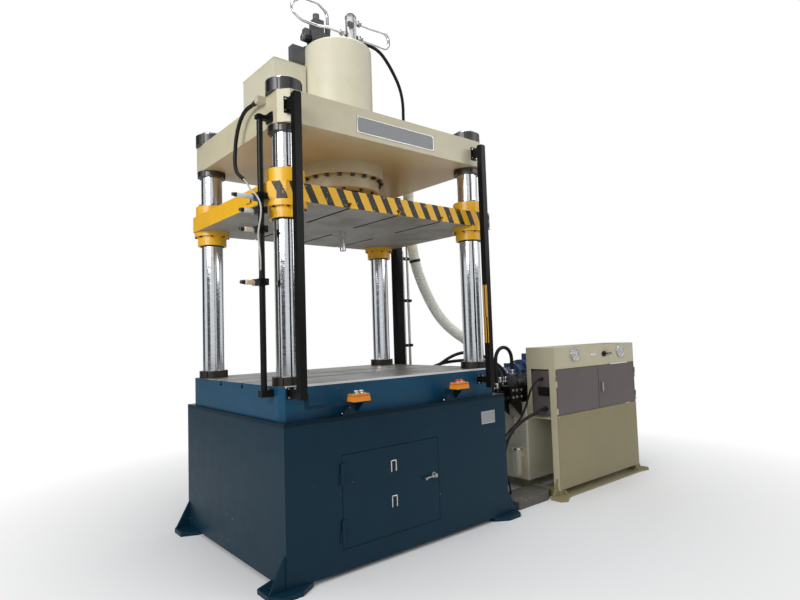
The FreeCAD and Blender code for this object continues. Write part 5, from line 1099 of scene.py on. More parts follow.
@dataclass
class Hose:
    """A smooth hose or cable on a spline through its route."""

    name: str
    node: str
    diameter: float
    route: list[Point]
    finish: Finish
    stiffness: Stiffness = Stiffness.STIFF
    ends: tuple[EndKind, EndKind] = (EndKind.CRIMPED, EndKind.CRIMPED)

    def spline(self, thick: bool) -> bpy.types.Object:
        """The route as a smooth curve.

        Args:
            thick: Give the curve its hose's thickness.

        Returns:
            The curve object.
        """
        data = bpy.data.curves.new(self.name, "CURVE")
        data.dimensions = "3D"
        line = data.splines.new("NURBS")
        line.points.add(len(self.route) - 1)
        line.points.foreach_set("co", np.column_stack([self.route, np.ones(len(self.route))]).ravel())
        line.order_u = 3
        line.use_endpoint_u = True
        line.resolution_u = 12
        if thick:
            data.bevel_depth = self.diameter / 2
            data.bevel_resolution = 6
            data.use_fill_caps = True
        made = bpy.data.objects.new(self.name, data)
        bpy.context.scene.collection.objects.link(made)
        return made

    def centreline(self) -> np.ndarray:
        """Points along the middle of the route's spline."""
        curve = self.spline(thick=False)
        mesh = bpy.data.meshes.new_from_object(curve)
        points = np.empty(len(mesh.vertices) * 3)
        mesh.vertices.foreach_get("co", points)
        bpy.data.objects.remove(curve)
        bpy.data.meshes.remove(mesh)
        return points.reshape(-1, 3)

    def along(self, line: np.ndarray, places: np.ndarray) -> np.ndarray:
        """Points on a line at given distances from its start."""
        gone = np.concatenate([[0.0], np.cumsum(np.linalg.norm(np.diff(line, axis=0), axis=1))])
        return np.stack([np.interp(places, gone, line[:, k]) for k in range(3)], axis=-1)

    def crimp(self, line: np.ndarray) -> Shape:
        """A hexagon and a crimped ferrule over the start of a line.

        Args:
            line: Points along the hose, from the end that the ferrule is on.

        Returns:
            The ferrule and its hexagon.
        """
        r = self.diameter / 2
        places = np.array([8, 16, 16.5, 18.5, 19, 27, 27.5, 29.5, 30, 41, 44]) / 1000
        grooves = np.array([0, 0, 1, 1, 0, 0, 1, 1, 0, 0, 3.2]) / 1000
        sleeve = carried(self.along(line, places), r + 0.0036 - grooves, 24)
        start = self.along(line, np.array([-1.0, 0.004]))
        way = self.along(line, np.array([0.0, 0.006]))
        nut = pushed(hexagon(self.diameter * 1.42), 0.0, 0.011, 0.0008)
        return joined(sleeve, nut.placed(tuple(start[0]), tuple(way[1] - way[0])))

    def relief(self, line: np.ndarray) -> Shape:
        """A tapered, ribbed strain relief over the start of a line.

        Args:
            line: Points along the cable, from the end that the relief is on.

        Returns:
            The relief.
        """
        r = self.diameter / 2
        places = np.linspace(0.0, 0.042, 29)
        ribs = (np.arange(29) % 4 > 1) * 0.0011
        ribs[:3] = 0.0
        radii = np.interp(places, [0, 0.008, 0.042], [r + 0.0050, r + 0.0046, r + 0.0017]) - ribs
        return carried(self.along(line, places), radii, 24)

    def fitted(self, kit: Kit, line: np.ndarray) -> list[bpy.types.Object]:
        """The separate pieces on both ends.

        Args:
            kit: Where the pieces go.
            line: Points along the middle of the hose.

        Returns:
            The pieces.
        """
        made = []
        for label, kind, run in (("near", self.ends[0], line), ("far", self.ends[1], line[::-1])):
            if kind is EndKind.CRIMPED:
                made.append(kit.piece(f"{self.name}_{label}_ferrule", self.crimp(run), PLATED))
            elif kind is EndKind.RELIEF:
                made.append(kit.piece(f"{self.name}_{label}_relief", self.relief(run), BLACK_PLASTIC))
        return made

    def build(self, kit: Kit) -> None:
        """Make the hose, hide the CAD node that it stands for and fit its ends."""
        line = self.centreline()
        made = self.spline(thick=True)
        made.data.materials.append(self.finish.material(kit.effects))
        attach(made, "frame")
        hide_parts(self.node)
        self.fitted(kit, line)


@dataclass
class RibbedHose(Hose):
    """A corrugated hose: its radius swells and shrinks along the route."""

    root: float = 0.078
    pitch: float = 0.018
    plain: float = 0.05
    square: float = 0.6
    ring_steps: int = 8
    strap_share: float = 0.515

    def band(self, line: np.ndarray, places: np.ndarray, low: float, high: float) -> Shape:
        """A flat band round the hose.

        Args:
            line: Points along the hose.
            places: The band's two ends and the two ends of its full height, as distances along it.
            low: How far its ends stand above the ribs.
            high: How far it stands above them between.

        Returns:
            The band.
        """
        return carried(self.along(line, places), self.diameter / 2 + np.array([low, high, high, low]), 40)

    def clamp(self, line: np.ndarray) -> Shape:
        """A worm-drive clamp near the start of a line, with its screw housing.

        Args:
            line: Points along the hose, from the end that the clamp is on.

        Returns:
            The clamp.
        """
        places = np.array([0.012, 0.0125, 0.0265, 0.027])
        way = self.along(line, places[[0, 3]])
        out = np.cross(way[1] - way[0], (0.0, 1.0, 0.0))
        out /= np.linalg.norm(out)
        seat = way.mean(axis=0) - out * (self.diameter / 2 + 0.005)
        screw = rounded_box((0.014, 0.024, 0.010), 0.003, 0.001).placed(tuple(seat), tuple(-out))
        return joined(self.band(line, places, 0.0005, 0.0022), screw)

    def build(self, kit: Kit) -> None:
        """Carry a ringed section along the route.

        Formula: radius = root + (crest - root) times a squared-off cosine of the distance
        along the hose over the pitch, and the root radius alone near both ends.
        """
        line = self.centreline()
        length = np.cumsum(np.linalg.norm(np.diff(line, axis=0), axis=1))[-1]
        place = np.linspace(0, length, int(length / self.pitch * self.ring_steps))
        path = self.along(line, place)
        smooth = np.ones(9) / 9
        padded = np.pad(path, ((4, 4), (0, 0)), mode="reflect", reflect_type="odd")
        path = np.stack([np.convolve(padded[:, k], smooth, mode="valid") for k in range(3)], axis=-1)
        wave = (0.5 - 0.5 * np.cos(2 * math.pi * place / self.pitch)) ** self.square
        ends = np.clip(np.minimum(place, length - place) / self.plain - 0.4, 0, 1)
        radii = self.root / 2 + (self.diameter - self.root) / 2 * wave * ends
        made = kit.piece(self.name, carried(path, radii, 28), self.finish, smooth=80, replaces=(self.node,))
        clamps = [kit.piece(f"{self.name}_{label}_clamp", self.clamp(run), PLATED)
                  for label, run in (("near", line), ("far", line[::-1]))]
        half = np.array([-0.011, -0.0105, 0.0105, 0.011])
        strap = self.band(line, length * self.strap_share + half, 0.0006, 0.0026)
        clamps.append(kit.piece(f"{self.name}_strap", strap, BLACK_PLASTIC))


def metres(*points: Point) -> list[Point]:
    """Points written in millimetres, as metres."""
    return [(x / 1000, y / 1000, z / 1000) for x, y, z in points]


@dataclass
class Hoses:
    """All hoses and cables between the press and its power unit."""

    returns: list[Point] = field(default_factory=lambda: metres(
        (268, 60, 2700), (416, 60, 2700), (571, 104, 2725), (721, 167, 2703), (831, 247, 2615),
        (886, 307, 2473), (902, 336, 2312), (909, 345, 2147), (928, 335, 1984), (956, 329, 1821),
        (1006, 311, 1665), (1069, 287, 1515), (1147, 256, 1373), (1246, 198, 1255), (1373, 143, 1168),
        (1449, 122, 1024), (1500, 110, 868), (1500, 110, 720)))
    pilot: list[Point] = field(default_factory=lambda: metres(
        (161, 44, 3440), (226, 109, 3440), (304, 148, 3464), (400, 152, 3482), (497, 152, 3462),
        (589, 176, 3415), (680, 213, 3364), (767, 258, 3316), (848, 315, 3270), (919, 380, 3209),
        (960, 429, 3124), (983, 459, 3025), (996, 478, 2921), (1004, 491, 2815), (1008, 500, 2709),
        (1010, 503, 2602), (1006, 500, 2496), (1005, 499, 2389), (1008, 502, 2283), (1011, 500, 2176),
        (1011, 500, 2080)))
    table_upper: list[Point] = field(default_factory=lambda: metres(
        (842, 190, 938), (914, 190, 938), (985, 171, 963), (1039, 132, 1008), (1088, 86, 1051),
        (1139, 32, 1079), (1191, -29, 1086), (1237, -90, 1067), (1276, -150, 1030), (1305, -204, 980),
        (1318, -232, 908), (1318, -232, 836)))
    table_lower: list[Point] = field(default_factory=lambda: metres(
        (842, 260, 938), (919, 260, 938), (995, 243, 958), (1058, 203, 988), (1116, 152, 1006),
        (1172, 92, 1014), (1222, 26, 1018), (1266, -44, 1016), (1304, -112, 1008), (1332, -154, 1000),
        (1356, -190, 974), (1374, -218, 935), (1384, -232, 887), (1384, -232, 836)))
    arch: list[Point] = field(default_factory=lambda: metres(
        (1195, -300, 800), (1195, -300, 852), (1193, -300, 903), (1192, -300, 954), (1193, -300, 1003),
        (1195, -300, 1049), (1220, -300, 1093), (1264, -300, 1118), (1316, -300, 1118),
        (1360, -300, 1093), (1385, -300, 1049), (1387, -300, 998), (1385, -300, 947), (1385, -300, 895)))
    loom: list[Point] = field(default_factory=lambda: metres(
        (-822, -412, 2541), (-822, -353, 2541), (-831, -289, 2534), (-834, -232, 2502),
        (-838, -196, 2448), (-839, -170, 2387), (-839, -158, 2322), (-840, -154, 2257),
        (-842, -183, 2199), (-847, -238, 2165), (-850, -290, 2136)))
    lead: list[Point] = field(default_factory=lambda: metres(
        (-850, -290, 2136), (-853, -332, 2112), (-866, -375, 2088), (-879, -418, 2060),
        (-889, -462, 2032), (-895, -508, 2010), (-898, -550, 1982), (-900, -586, 1948),
        (-901, -605, 1910), (-901, -598, 1862), (-901, -576, 1818), (-897, -557, 1777),
        (-896, -563, 1728), (-897, -577, 1680), (-894, -574, 1631), (-880, -541, 1602),
        (-880, -541, 1557)))
    console: list[Point] = field(default_factory=lambda: metres(
        (1448, -542, 870), (1395, -542, 870), (1359, -532, 841), (1330, -515, 793), (1323, -498, 737),
        (1310, -485, 681), (1290, -473, 627), (1258, -462, 578), (1212, -454, 542), (1160, -451, 516),
        (1107, -452, 488), (1066, -455, 447), (1044, -459, 393), (1039, -463, 334), (1046, -468, 275),
        (1060, -471, 218), (1073, -473, 160), (1096, -474, 109), (1096, -474, 56)))
    supply: list[Point] = field(default_factory=lambda: metres(
        (1448, -566, 645), (1382, -566, 645), (1326, -539, 614), (1261, -516, 590), (1198, -497, 555),
        (1136, -490, 517), (1081, -491, 469), (1038, -496, 410), (1010, -500, 342), (1001, -502, 269),
        (998, -504, 196), (1000, -502, 122), (1000, -502, 56)))

    def build(self, kit: Kit) -> None:
        """Make every hose in turn."""
        RibbedHose("ribbed_return_hose", "return_hose", 0.088, self.returns, HOSE_GREY).build(kit)
        relief, bare = EndKind.RELIEF, EndKind.BARE
        fitted = (EndKind.CRIMPED, EndKind.CRIMPED)
        plain = [
            ("black_pilot_hose", "pilot_hose", 0.026, self.pilot, RUBBER, fitted),
            ("bed_hose_upper", "table_hose_upper", 0.026, self.table_upper, RUBBER, fitted),
            ("bed_hose_lower", "table_hose_lower", 0.026, self.table_lower, RUBBER, fitted),
            ("arched_valve_hose", "arch_hose", 0.028, self.arch, RUBBER, fitted),
            ("switch_loom", "switch_cable", 0.022, self.loom, RUBBER, (relief, bare)),
            ("switch_lead", "switch_cable", 0.009, self.lead, PALE_WIRE, (bare, relief)),
            ("console_lead", "console_cable", 0.016, self.console, RUBBER, (relief, bare)),
            ("supply_lead", "supply_cable", 0.024, self.supply, RUBBER, (relief, bare)),
        ]
        for name, node, diameter, route, finish, ends in plain:
            Hose(name, node, diameter, route, finish, Stiffness.MEDIUM, ends).build(kit)


# ---------------------------------------------------------------- the press in detail
@dataclass
class CylinderDetails:
    """Bolts of the cylinder's flange and gland, and the wiper round the ram."""

    flange_low: float = 2.300
    gland_low: float = 2.215
    flange_circle: float = 0.277
    gland_circle: float = 0.232
    ram_radius: float = 0.160
    bolt_across: float = 0.027
    flange_bolts: int = 20
    gland_screws: int = 12

    def build(self, kit: Kit) -> None:
        """Place the bolts and the wiper."""
        head = hex_bolt(self.bolt_across, 0.013, self.bolt_across * 1.15)
        down = (0, 0, -1)
        places = around(self.flange_circle, self.flange_bolts, self.flange_low)
        kit.piece("flange_bolts", head.scattered(places, down), BLACKED)
        screw = socket_bolt(0.024, 0.012)
        places = around(self.gland_circle, self.gland_screws, self.gland_low)
        kit.piece("gland_screws", screw.scattered(places, down), BLACKED)
        r = self.ram_radius
        wiper = ring_profile([(r + 0.001, 0.0), (r + 0.011, 0.0), (r + 0.014, 0.006), (r + 0.001, 0.009)], 96)
        kit.piece("ram_wiper", wiper.placed((0, 0, self.gland_low), down), BLACK_PLASTIC)


@dataclass
class PlateDetails:
    """Rims and rivets of the bare name plate and of the small label plate."""

    name_middle: Point = (-0.010, -0.633, 2.462)
    name_size: tuple[float, float] = (0.604, 0.100)
    label_middle: Point = (0.662, -0.674, 0.684)
    label_size: tuple[float, float] = (0.132, 0.082)
    inset: float = 0.012

    def build(self, kit: Kit) -> None:
        """Make both plates' rims and rivets."""
        for name, middle, size, count in (("name_plate", self.name_middle, self.name_size, 4),
                                          ("label_plate", self.label_middle, self.label_size, 2)):
            edge = rim(size[0] - 0.004, size[1] - 0.004, 0.0035, 0.0010)
            kit.piece(f"{name}_rim", edge.placed(middle, (0, -1, 0)), PLATED)
            x, z = (np.linspace(-side / 2 + self.inset, side / 2 - self.inset, n) for side,
                    n in zip(size, (count, 2)))
            places = lattice(middle[0] + x, [middle[1]], middle[2] + z)
            head = rivet(0.009 if count > 2 else 0.006, 0.0022)
            kit.piece(f"{name}_rivets", head.scattered(places, (0, -1, 0)), PLATED)


@dataclass
class PlatenDetails:
    """Screws and wipers of the platen's guide bushes; they ride the platen."""

    column_x: float = 0.713
    column_y: float = 0.518
    flange_low: float = 1.940
    collar_top: float = 2.145
    column_radius: float = 0.069
    bush_low: float = 1.880
    flange_circle: float = 0.1035
    collar_circle: float = 0.088

    def build(self, kit: Kit) -> None:
        """Place the screws and the wipers."""
        corners = corners_of(self.column_x, self.column_y, 0.0)[:, :2]
        low = np.concatenate([around(self.flange_circle, 8, self.flange_low, tuple(c), 0.39)
                              for c in corners])
        kit.piece("bush_screws", socket_bolt(0.014, 0.008).scattered(low, (0, 0, -1)), BLACKED, "slide")
        high = np.concatenate([around(self.collar_circle, 6, self.collar_top, tuple(c), 0.2)
                               for c in corners])
        kit.piece("collar_screws", socket_bolt(0.018, 0.009).scattered(high), BLACKED, "slide")
        r = self.column_radius
        wiper = ring_profile([(r + 0.0008, 0.0), (r + 0.010, 0.0), (r + 0.007, 0.006),
                              (r + 0.0008, 0.008)], 48)
        places = corners_of(self.column_x, self.column_y, self.collar_top)
        kit.piece("collar_wipers", wiper.scattered(places), BLACK_PLASTIC, "slide")
        under = corners_of(self.column_x, self.column_y, self.bush_low)
        kit.piece("bush_wipers", wiper.scattered(under, (0, 0, -1)), BLACK_PLASTIC, "slide")


@dataclass
class FrameDetails:
    """Column threads, a pale strip that paints the highlight on the bed's front top edge, the oil tank's weld
    bead and its port cap.
    """

    column_x: float = 0.713
    column_y: float = 0.518
    stub_low: float = 2.632
    stub_high: float = 2.650
    thread_root: float = 0.0670
    thread_radii: tuple[float, float] = (0.0686, 0.0698)
    thread_turns: int = 5
    bed_front: float = -0.608
    bed_reach: float = 0.788
    table: float = 1.0
    tank_foot: float = 2.5615

    def build(self, kit: Kit) -> None:
        """Make the threads, the bed's painted edge highlight, the port cap and the weld bead."""
        z = np.linspace(self.stub_low, self.stub_high, 2 * self.thread_turns + 1)
        crest = [(self.thread_radii[k % 2], h) for k, h in enumerate(z)]
        thread = ring_profile([(self.thread_root, z[0]), *crest, (self.thread_root, z[-1])], 64)
        kit.piece("column_threads", thread.scattered(corners_of(self.column_x, self.column_y, 0.0)), GROUND)
        # A thin pale strip along the bed's front top edge: a painted highlight.
        y, t = self.bed_front, self.table
        line = np.array([(y - 0.0012, t - 0.0100), (y + 0.0110, t - 0.0010), (y + 0.0110, t + 0.0008),
                         (y - 0.0012, t + 0.0004)])
        points = np.concatenate([np.column_stack([np.full(4, x), line])
                                 for x in (-self.bed_reach, self.bed_reach)])
        faces = [np.flip(face, axis=1) for face in closed_tube(2, 4)]
        kit.piece("bed_edge_highlight", Shape(points, faces), EDGE_HIGHLIGHT)
        cap = hex_bolt(0.042, 0.022, 0.050).placed((0.258, -0.070, 2.601), (1, 0, 0))
        kit.piece("tank_port_cap", cap, BLACKED)
        bead = ring_profile([(0.2335, 0.0), (0.2405, 0.0), (0.2385, 0.004), (0.2335, 0.006)], 96)
        kit.piece("tank_foot_weld", bead.placed((0, 0, self.tank_foot)), CREAM)


@dataclass
class TankTopDetails:
    """What sits on the prefill tank: screws, a coil cover, tube nuts, a terminal box and a lid's screws."""

    top: float = 3.241
    valve: tuple[float, float] = (-0.125, 0.070)
    column: tuple[float, float] = (0.117, 0.0)
    lid: float = 3.081

    def build(self, kit: Kit) -> None:
        """Make the valve stack's and the ported column's fittings, and the box's lid screws."""
        x, y = self.valve
        z = self.top + 0.025
        screws = four_round(x, y, z, 0.062, 0.062)
        kit.piece("valve_plate_screws", socket_bolt(0.020, 0.014).scattered(screws), BLACKED)
        heads = four_round(x, y, z + 0.190, 0.028, 0.022)
        kit.piece("valve_top_screws", socket_bolt(0.012, 0.010).scattered(heads), PLATED)
        label = rim(0.050, 0.034, 0.003, 0.0012).placed((x, y - 0.045, z + 0.052), (0, -1, 0))
        kit.piece("valve_label_rim", label, PLATED)
        coil = revolved([(0.0282, 0.0), (0.0286, 0.004), (0.0286, 0.050), (0.024, 0.056), (0.010, 0.058)], 36)
        kit.piece("pilot_coil_cover", coil.placed((x - 0.056, y, z + 0.042), (-1, 0, 0)), BLACK_PLASTIC)
        nut = hex_bolt(0.026, 0.010)
        kit.piece("pilot_coil_nut", nut.placed((x - 0.114, y, z + 0.042), (-1, 0, 0)), PLATED)
        cx, cy = self.column
        level = [(cx, cy, self.top + rise) for rise in (0.024, 0.284)]
        band = ring_profile([(0.0382, 0.0), (0.0420, 0.001), (0.0420, 0.010), (0.0382, 0.011)], 48)
        kit.piece("ported_column_bands", band.scattered(np.array(level)), PLATED)
        shell = ring_profile([(0.0378, 0.034), (0.0388, 0.034), (0.0388, 0.2835), (0.0378, 0.2835)], 48)
        kit.piece("ported_column_sleeve", shell.placed((cx, cy, self.top)), BRIGHT)
        feet = around(0.050, 6, self.top + 0.024, self.column, 0.5)
        kit.piece("ported_column_screws", socket_bolt(0.012, 0.010).scattered(feet), BLACKED)
        box = slab((0.064, -0.052, 3.437), (0.108, -0.033, 3.473), 0.002)
        kit.piece("pilot_terminal_box", box, MACHINE_GREY)
        ends = [((0.047, 0.0, 3.400), (-1, 0, 0)), ((0.187, 0.006, 3.516), (1, 0, 0)),
                ((0.187, -0.010, 3.394), (1, 0, 0))]
        nuts = [hex_bolt(0.040, 0.020).placed(at, axis) for at, axis in ends]
        kit.piece("pilot_tube_nuts", joined(*nuts), PLATED)
        riser = hex_bolt(0.040, 0.024).placed((-0.035, 0.070, 3.412))
        kit.piece("pilot_riser_nut", riser, PLATED)
        lid = lattice([-0.470, -0.257], [0.042, 0.265, 0.488], [self.lid])
        kit.piece("top_box_screws", rivet(0.014, 0.005).scattered(lid), PLATED)
        seam = rim(0.232, 0.466, 0.003, 0.0015).placed((-0.3635, 0.265, self.lid))
        kit.piece("top_box_lid_rim", seam, CREAM)
        joint = rim(0.050, 0.096, 0.002, 0.001).placed((-0.292, 0.072, 3.183), (0, -1, 0))
        kit.piece("junction_lid_rim", joint, MACHINE_GREY)


@dataclass
class GuardDetails:
    """The light guard on the right post: its lens bars, the sensor's window and the posts' clip screws."""

    face: float = 0.639
    strip_face: float = 0.632
    front: float = -0.722
    low: float = 1.174
    strip_top: float = 1.344
    high: float = 1.557

    def bars(self, x: float, depths: tuple[tuple[float, float], ...], low: float, high: float) -> Shape:
        """Thin upright bars on a face that looks left.

        Args:
            x: The face.
            depths: Front and rear edge of each bar.
            low: Lower end.
            high: Upper end.

        Returns:
            The bars as one shape.
        """
        return joined(*(slab((x - 0.0016, y0, low), (x + 0.0002, y1, high), 0.0004) for y0, y1 in depths))

    def build(self, kit: Kit) -> None:
        """Make the lens, the sensor's window and the screws."""
        gold = joined(self.bars(self.face, ((-0.7215, -0.7125), (-0.7015, -0.6925)), self.strip_top,
                                self.high - 0.002),
                      self.bars(self.strip_face, ((-0.7175, -0.7110), (-0.7030, -0.6965)), self.low,
                                self.strip_top))
        kit.piece("guard_lens_bars", gold, AMBER)
        brown = joined(self.bars(self.face, ((-0.7125, -0.7015),), self.strip_top, self.high - 0.002),
                       self.bars(self.strip_face, ((-0.7110, -0.7030),), self.low, self.strip_top))
        kit.piece("guard_lens_middle", brown, LENS_BROWN)
        front = slab((self.face, self.front - 0.0012, self.low),
                     (self.face + 0.007, self.front + 0.0003, self.high), 0.0003)
        kit.piece("guard_lens_front", front, AMBER)
        caps = [slab((0.6375, -0.7230, z), (0.6475, -0.6912, z + 0.006), 0.001)
                for z in (self.low - 0.005, self.high - 0.001)]
        kit.piece("guard_lens_caps", joined(*caps), BLACK_PLASTIC)
        window = rounded_box((0.011, 0.030, 0.0016), 0.003, 0.0004)
        kit.piece("sensor_window", window.placed((0.696, -0.7175, 1.985), (0, -1, 0)), LENS_BROWN)
        screws = [((0.696, -0.717, z), (0, -1, 0)) for z in (1.940, 2.030)]
        kit.piece("sensor_screws", joined(*(socket_bolt(0.008, 0.003).placed(p, a) for p, a in screws)),
                  PLATED)
        pads = [(x + dx, y, z) for x, y,
                zs in ((-0.754, -0.637, (2.433, 2.493)), (0.666, -0.637, (2.433, 2.493)),
                (-0.754, -0.614, (0.944, 0.988)), (0.666, -0.614,
                                                   (0.908, 0.952))) for z in zs for dx in (-0.018, 0.018)]
        kit.piece("post_clip_screws", hex_bolt(0.010, 0.005).scattered(np.array(pads), (0, -1, 0)), PLATED)


@dataclass
class StationDetails:
    """Collars, caps, screws and cable gland of one push-button box."""

    side: str
    centre: float
    cap_finish: Finish
    body: str
    y: float = -0.745
    top: float = 0.941
    spacing: float = 0.032

    def build(self, kit: Kit) -> None:
        """Dress the box."""
        x, y, z = self.centre, self.y, self.top
        places = np.array([(x - self.spacing / 2, y, z), (x + self.spacing / 2, y, z)])
        collar = ring_profile([(0.0114, 0.0), (0.0156, 0.0), (0.0156, 0.0055), (0.0140, 0.0070),
                               (0.0114, 0.0070)], 32)
        kit.piece(f"{self.side}_button_collars", collar.scattered(places), PLATED)
        cap = revolved([(0.0104, 0.0122), (0.0113, 0.0128), (0.0113, 0.0154), (0.0100, 0.0180),
                        (0.0060, 0.0186), (0.0, 0.0188)], 32)
        kit.piece(f"{self.side}_fixed_cap", cap.placed(tuple(places[1])), self.cap_finish)
        kit.piece(f"{self.side}_moving_cap", cap.placed(tuple(places[0])), self.cap_finish, self.body)
        screws = four_round(x, y, z - 0.0002, 0.0430, 0.0250)
        kit.piece(f"{self.side}_box_screws", socket_bolt(0.0064, 0.0022).scattered(screws), PLATED)
        lamp = revolved([(0.0045, 0.0), (0.0045, 0.003), (0.003, 0.0055), (0.0, 0.0062)], 20)
        kit.piece(f"{self.side}_ready_lamp", lamp.placed((x + 0.0390, y, z)), WHITE_PLASTIC)
        seam = rim(0.1058, 0.0708, 0.0030, 0.0010).placed((x, y, z - 0.0085))
        kit.piece(f"{self.side}_box_seam", seam, BLACK_PLASTIC)
        gland = revolved([(0.0085, 0.0), (0.0085, 0.008), (0.0070, 0.010), (0.0062, 0.020),
                          (0.0040, 0.022)], 24)
        kit.piece(f"{self.side}_box_gland", gland.placed((x, y + 0.0335, z - 0.019), (0, 1, 0)),
                  BLACK_PLASTIC)
        feet = np.array([(x + sx * 0.036, -0.643, 0.828) for sx in (-1, 1)])
        kit.piece(f"{self.side}_bracket_bolts", hex_bolt(0.013, 0.006, 0.018).scattered(feet), PLATED)


@dataclass
class LimitSwitchDetails:
    """Sleeves, nuts and marked ends of the four limit switches on the left rod."""

    rod_x: float = -0.860
    y: float = -0.486
    heights: tuple[float, ...] = (1.990, 1.915, 1.815, 1.540)
    reaches: tuple[float, ...] = (0.143, 0.105, 0.105, 0.105)

    def build(self, kit: Kit) -> None:
        """Dress each switch from its clamp outwards."""
        left = (-1, 0, 0)
        nuts, sleeves, ends, bands, bolts = [], [], [], [], []
        for number, (z, reach) in enumerate(zip(self.heights, self.reaches)):
            edge = self.rod_x - 0.026
            tip = self.rod_x - reach
            nuts += [hex_bolt(0.0345, 0.0105).placed((edge, self.y, z), left),
                     hex_bolt(0.0300, 0.0070).placed((self.rod_x + 0.024, self.y, z), (1, 0, 0))]
            run = edge - 0.012 - (tip + 0.022)
            sleeve = revolved([(0.0123, 0.0), (0.0126, 0.002), (0.0126, run - 0.002), (0.0118, run)], 32)
            sleeves.append(sleeve.placed((edge - 0.012, self.y, z), left))
            boot = revolved([(0.0121, 0.0), (0.0121, 0.006), (0.0100, 0.010), (0.0094, 0.020),
                             (0.0060, 0.0235)], 28)
            ends.append(boot.placed((tip + 0.0225, self.y, z), left))
            if number > 1:
                ring = ring_profile([(0.0120, 0.0), (0.0131, 0.0), (0.0131, 0.005), (0.0120, 0.005)], 32)
                places = np.array([(edge - 0.018 - k * 0.011, self.y, z) for k in range(3)])
                bands.append(ring.scattered(places, left))
            bolts.append(hex_bolt(0.013, 0.006).placed((self.rod_x, -0.570, z), (0, -1, 0)))
        kit.piece("limit_switch_nuts", joined(*nuts), PLATED)
        kit.piece("limit_switch_sleeves", joined(*sleeves), WHITE_PLASTIC)
        kit.piece("limit_switch_boots", joined(*ends), BLACK_PLASTIC)
        kit.piece("limit_switch_bands", joined(*bands), BUSH_YELLOW)
        kit.piece("limit_clamp_screws", joined(*bolts), BLACKED)


@dataclass
class DoorDetails:
    """The cabinet door's bright wire pulls and the ring round its latch; they ride the door."""

    middle: float = -0.150
    heights: tuple[float, float] = (0.310, 0.506)
    width: float = 0.034
    height: float = 0.060
    wire: float = 0.0044
    level: float = -0.6747

    def build(self, kit: Kit) -> None:
        """Make the pulls and the latch's ring."""
        half, tall = self.width / 2, self.height / 2
        runs = []
        for z in self.heights:
            corners = [(self.middle - half, z - tall), (self.middle - half, z + tall),
                       (self.middle + half, z + tall), (self.middle + half, z - tall)]
            for (xa, za), (xb, zb) in zip(corners, corners[1:]):
                line = np.linspace((xa, self.level, za), (xb, self.level, zb), 5)
                runs.append(carried(line, np.array([0.9, 1.0, 1.0, 1.0, 0.9]) * self.wire, 12))
        kit.piece("door_wire_pulls", joined(*runs), PLATED, "door")
        ring = revolved([(0.0175, 0.0), (0.0178, 0.0035), (0.0150, 0.0065), (0.0125, 0.0068)], 36)
        kit.piece("door_latch_ring", ring.placed((0.158, -0.6715, 0.400), (0, -1, 0)), PLATED, "door")


# ---------------------------------------------------------------- the power unit in detail
@dataclass
class GaugeDetails:
    """One pressure gauge: bezel, white dial with its scale, needle and glass."""

    name: str
    x: float
    reading: float
    z: float = 1.047
    front: float = -0.672
    radius: float = 0.046

    def build(self, kit: Kit) -> None:
        """Make the dial from the back to the glass."""
        ahead = (0, -1, 0)
        y = self.front - 0.0083
        r = self.radius
        dial = revolved([(r - 0.0004, 0.0), (r - 0.0004, 0.0006), (0.0, 0.0006)], 64)
        kit.piece(f"{self.name}_dial", dial.placed((self.x, y, self.z), ahead), DIAL_WHITE)
        first, span, count = 225, 270, 31
        sweep = np.radians(np.linspace(first, first - span, count))
        lines = []
        for k, angle in enumerate(sweep):
            tick = slab((-0.0005, 0.0, 0.0), (0.0005, 0.0058 if k % 5 == 0 else 0.0032, 0.0003))
            tick.points += [0, r - 0.0105, 0]
            lines.append(tick.placed((0, 0, 0), turn=angle - math.pi / 2))
        digits = []
        for k in range(0, count, 5):
            place = np.array([math.cos(sweep[k]), math.sin(sweep[k]), 0.0]) * (r - 0.0165)
            figure = lettering(str(k), 0.0095)
            digits.append(Shape(figure.points + place, figure.faces))
        scale = joined(*lines, *digits)
        kit.piece(f"{self.name}_scale", scale.placed((self.x, y - 0.0006, self.z), ahead), BLACK_PLASTIC)
        turn = math.radians(first - span * self.reading)
        blade = pushed(np.array([(-0.010, -0.0016), (0.0, -0.0020), (r - 0.012, -0.0004), (r - 0.012, 0.0004),
                                 (0.0, 0.0020), (-0.010, 0.0016)]), 0.0, 0.0006)
        hub = revolved([(0.0042, 0.0), (0.0042, 0.0012), (0.0030, 0.0018), (0.0, 0.0020)], 20)
        needle = joined(blade.placed((0, 0, 0), turn=turn), hub)
        kit.piece(f"{self.name}_needle", needle.placed((self.x, y - 0.0012, self.z), ahead), BLACK_PLASTIC)
        glass = revolved([(r - 0.0002, 0.0), (r - 0.0002, 0.0010), (r * 0.5, 0.0014), (0.0, 0.0015)], 64)
        kit.piece(f"{self.name}_glass", glass.placed((self.x, y - 0.0040, self.z), ahead), CLEAR)
        bezel = ring_profile([(r - 0.0006, 0.004), (0.0524, 0.0), (0.0528, 0.008), (0.0512, 0.0130),
                              (0.0480, 0.0152), (r - 0.0006, 0.0136)], 72)
        kit.piece(f"{self.name}_bezel", bezel.placed((self.x, self.front, self.z), ahead), PLATED)


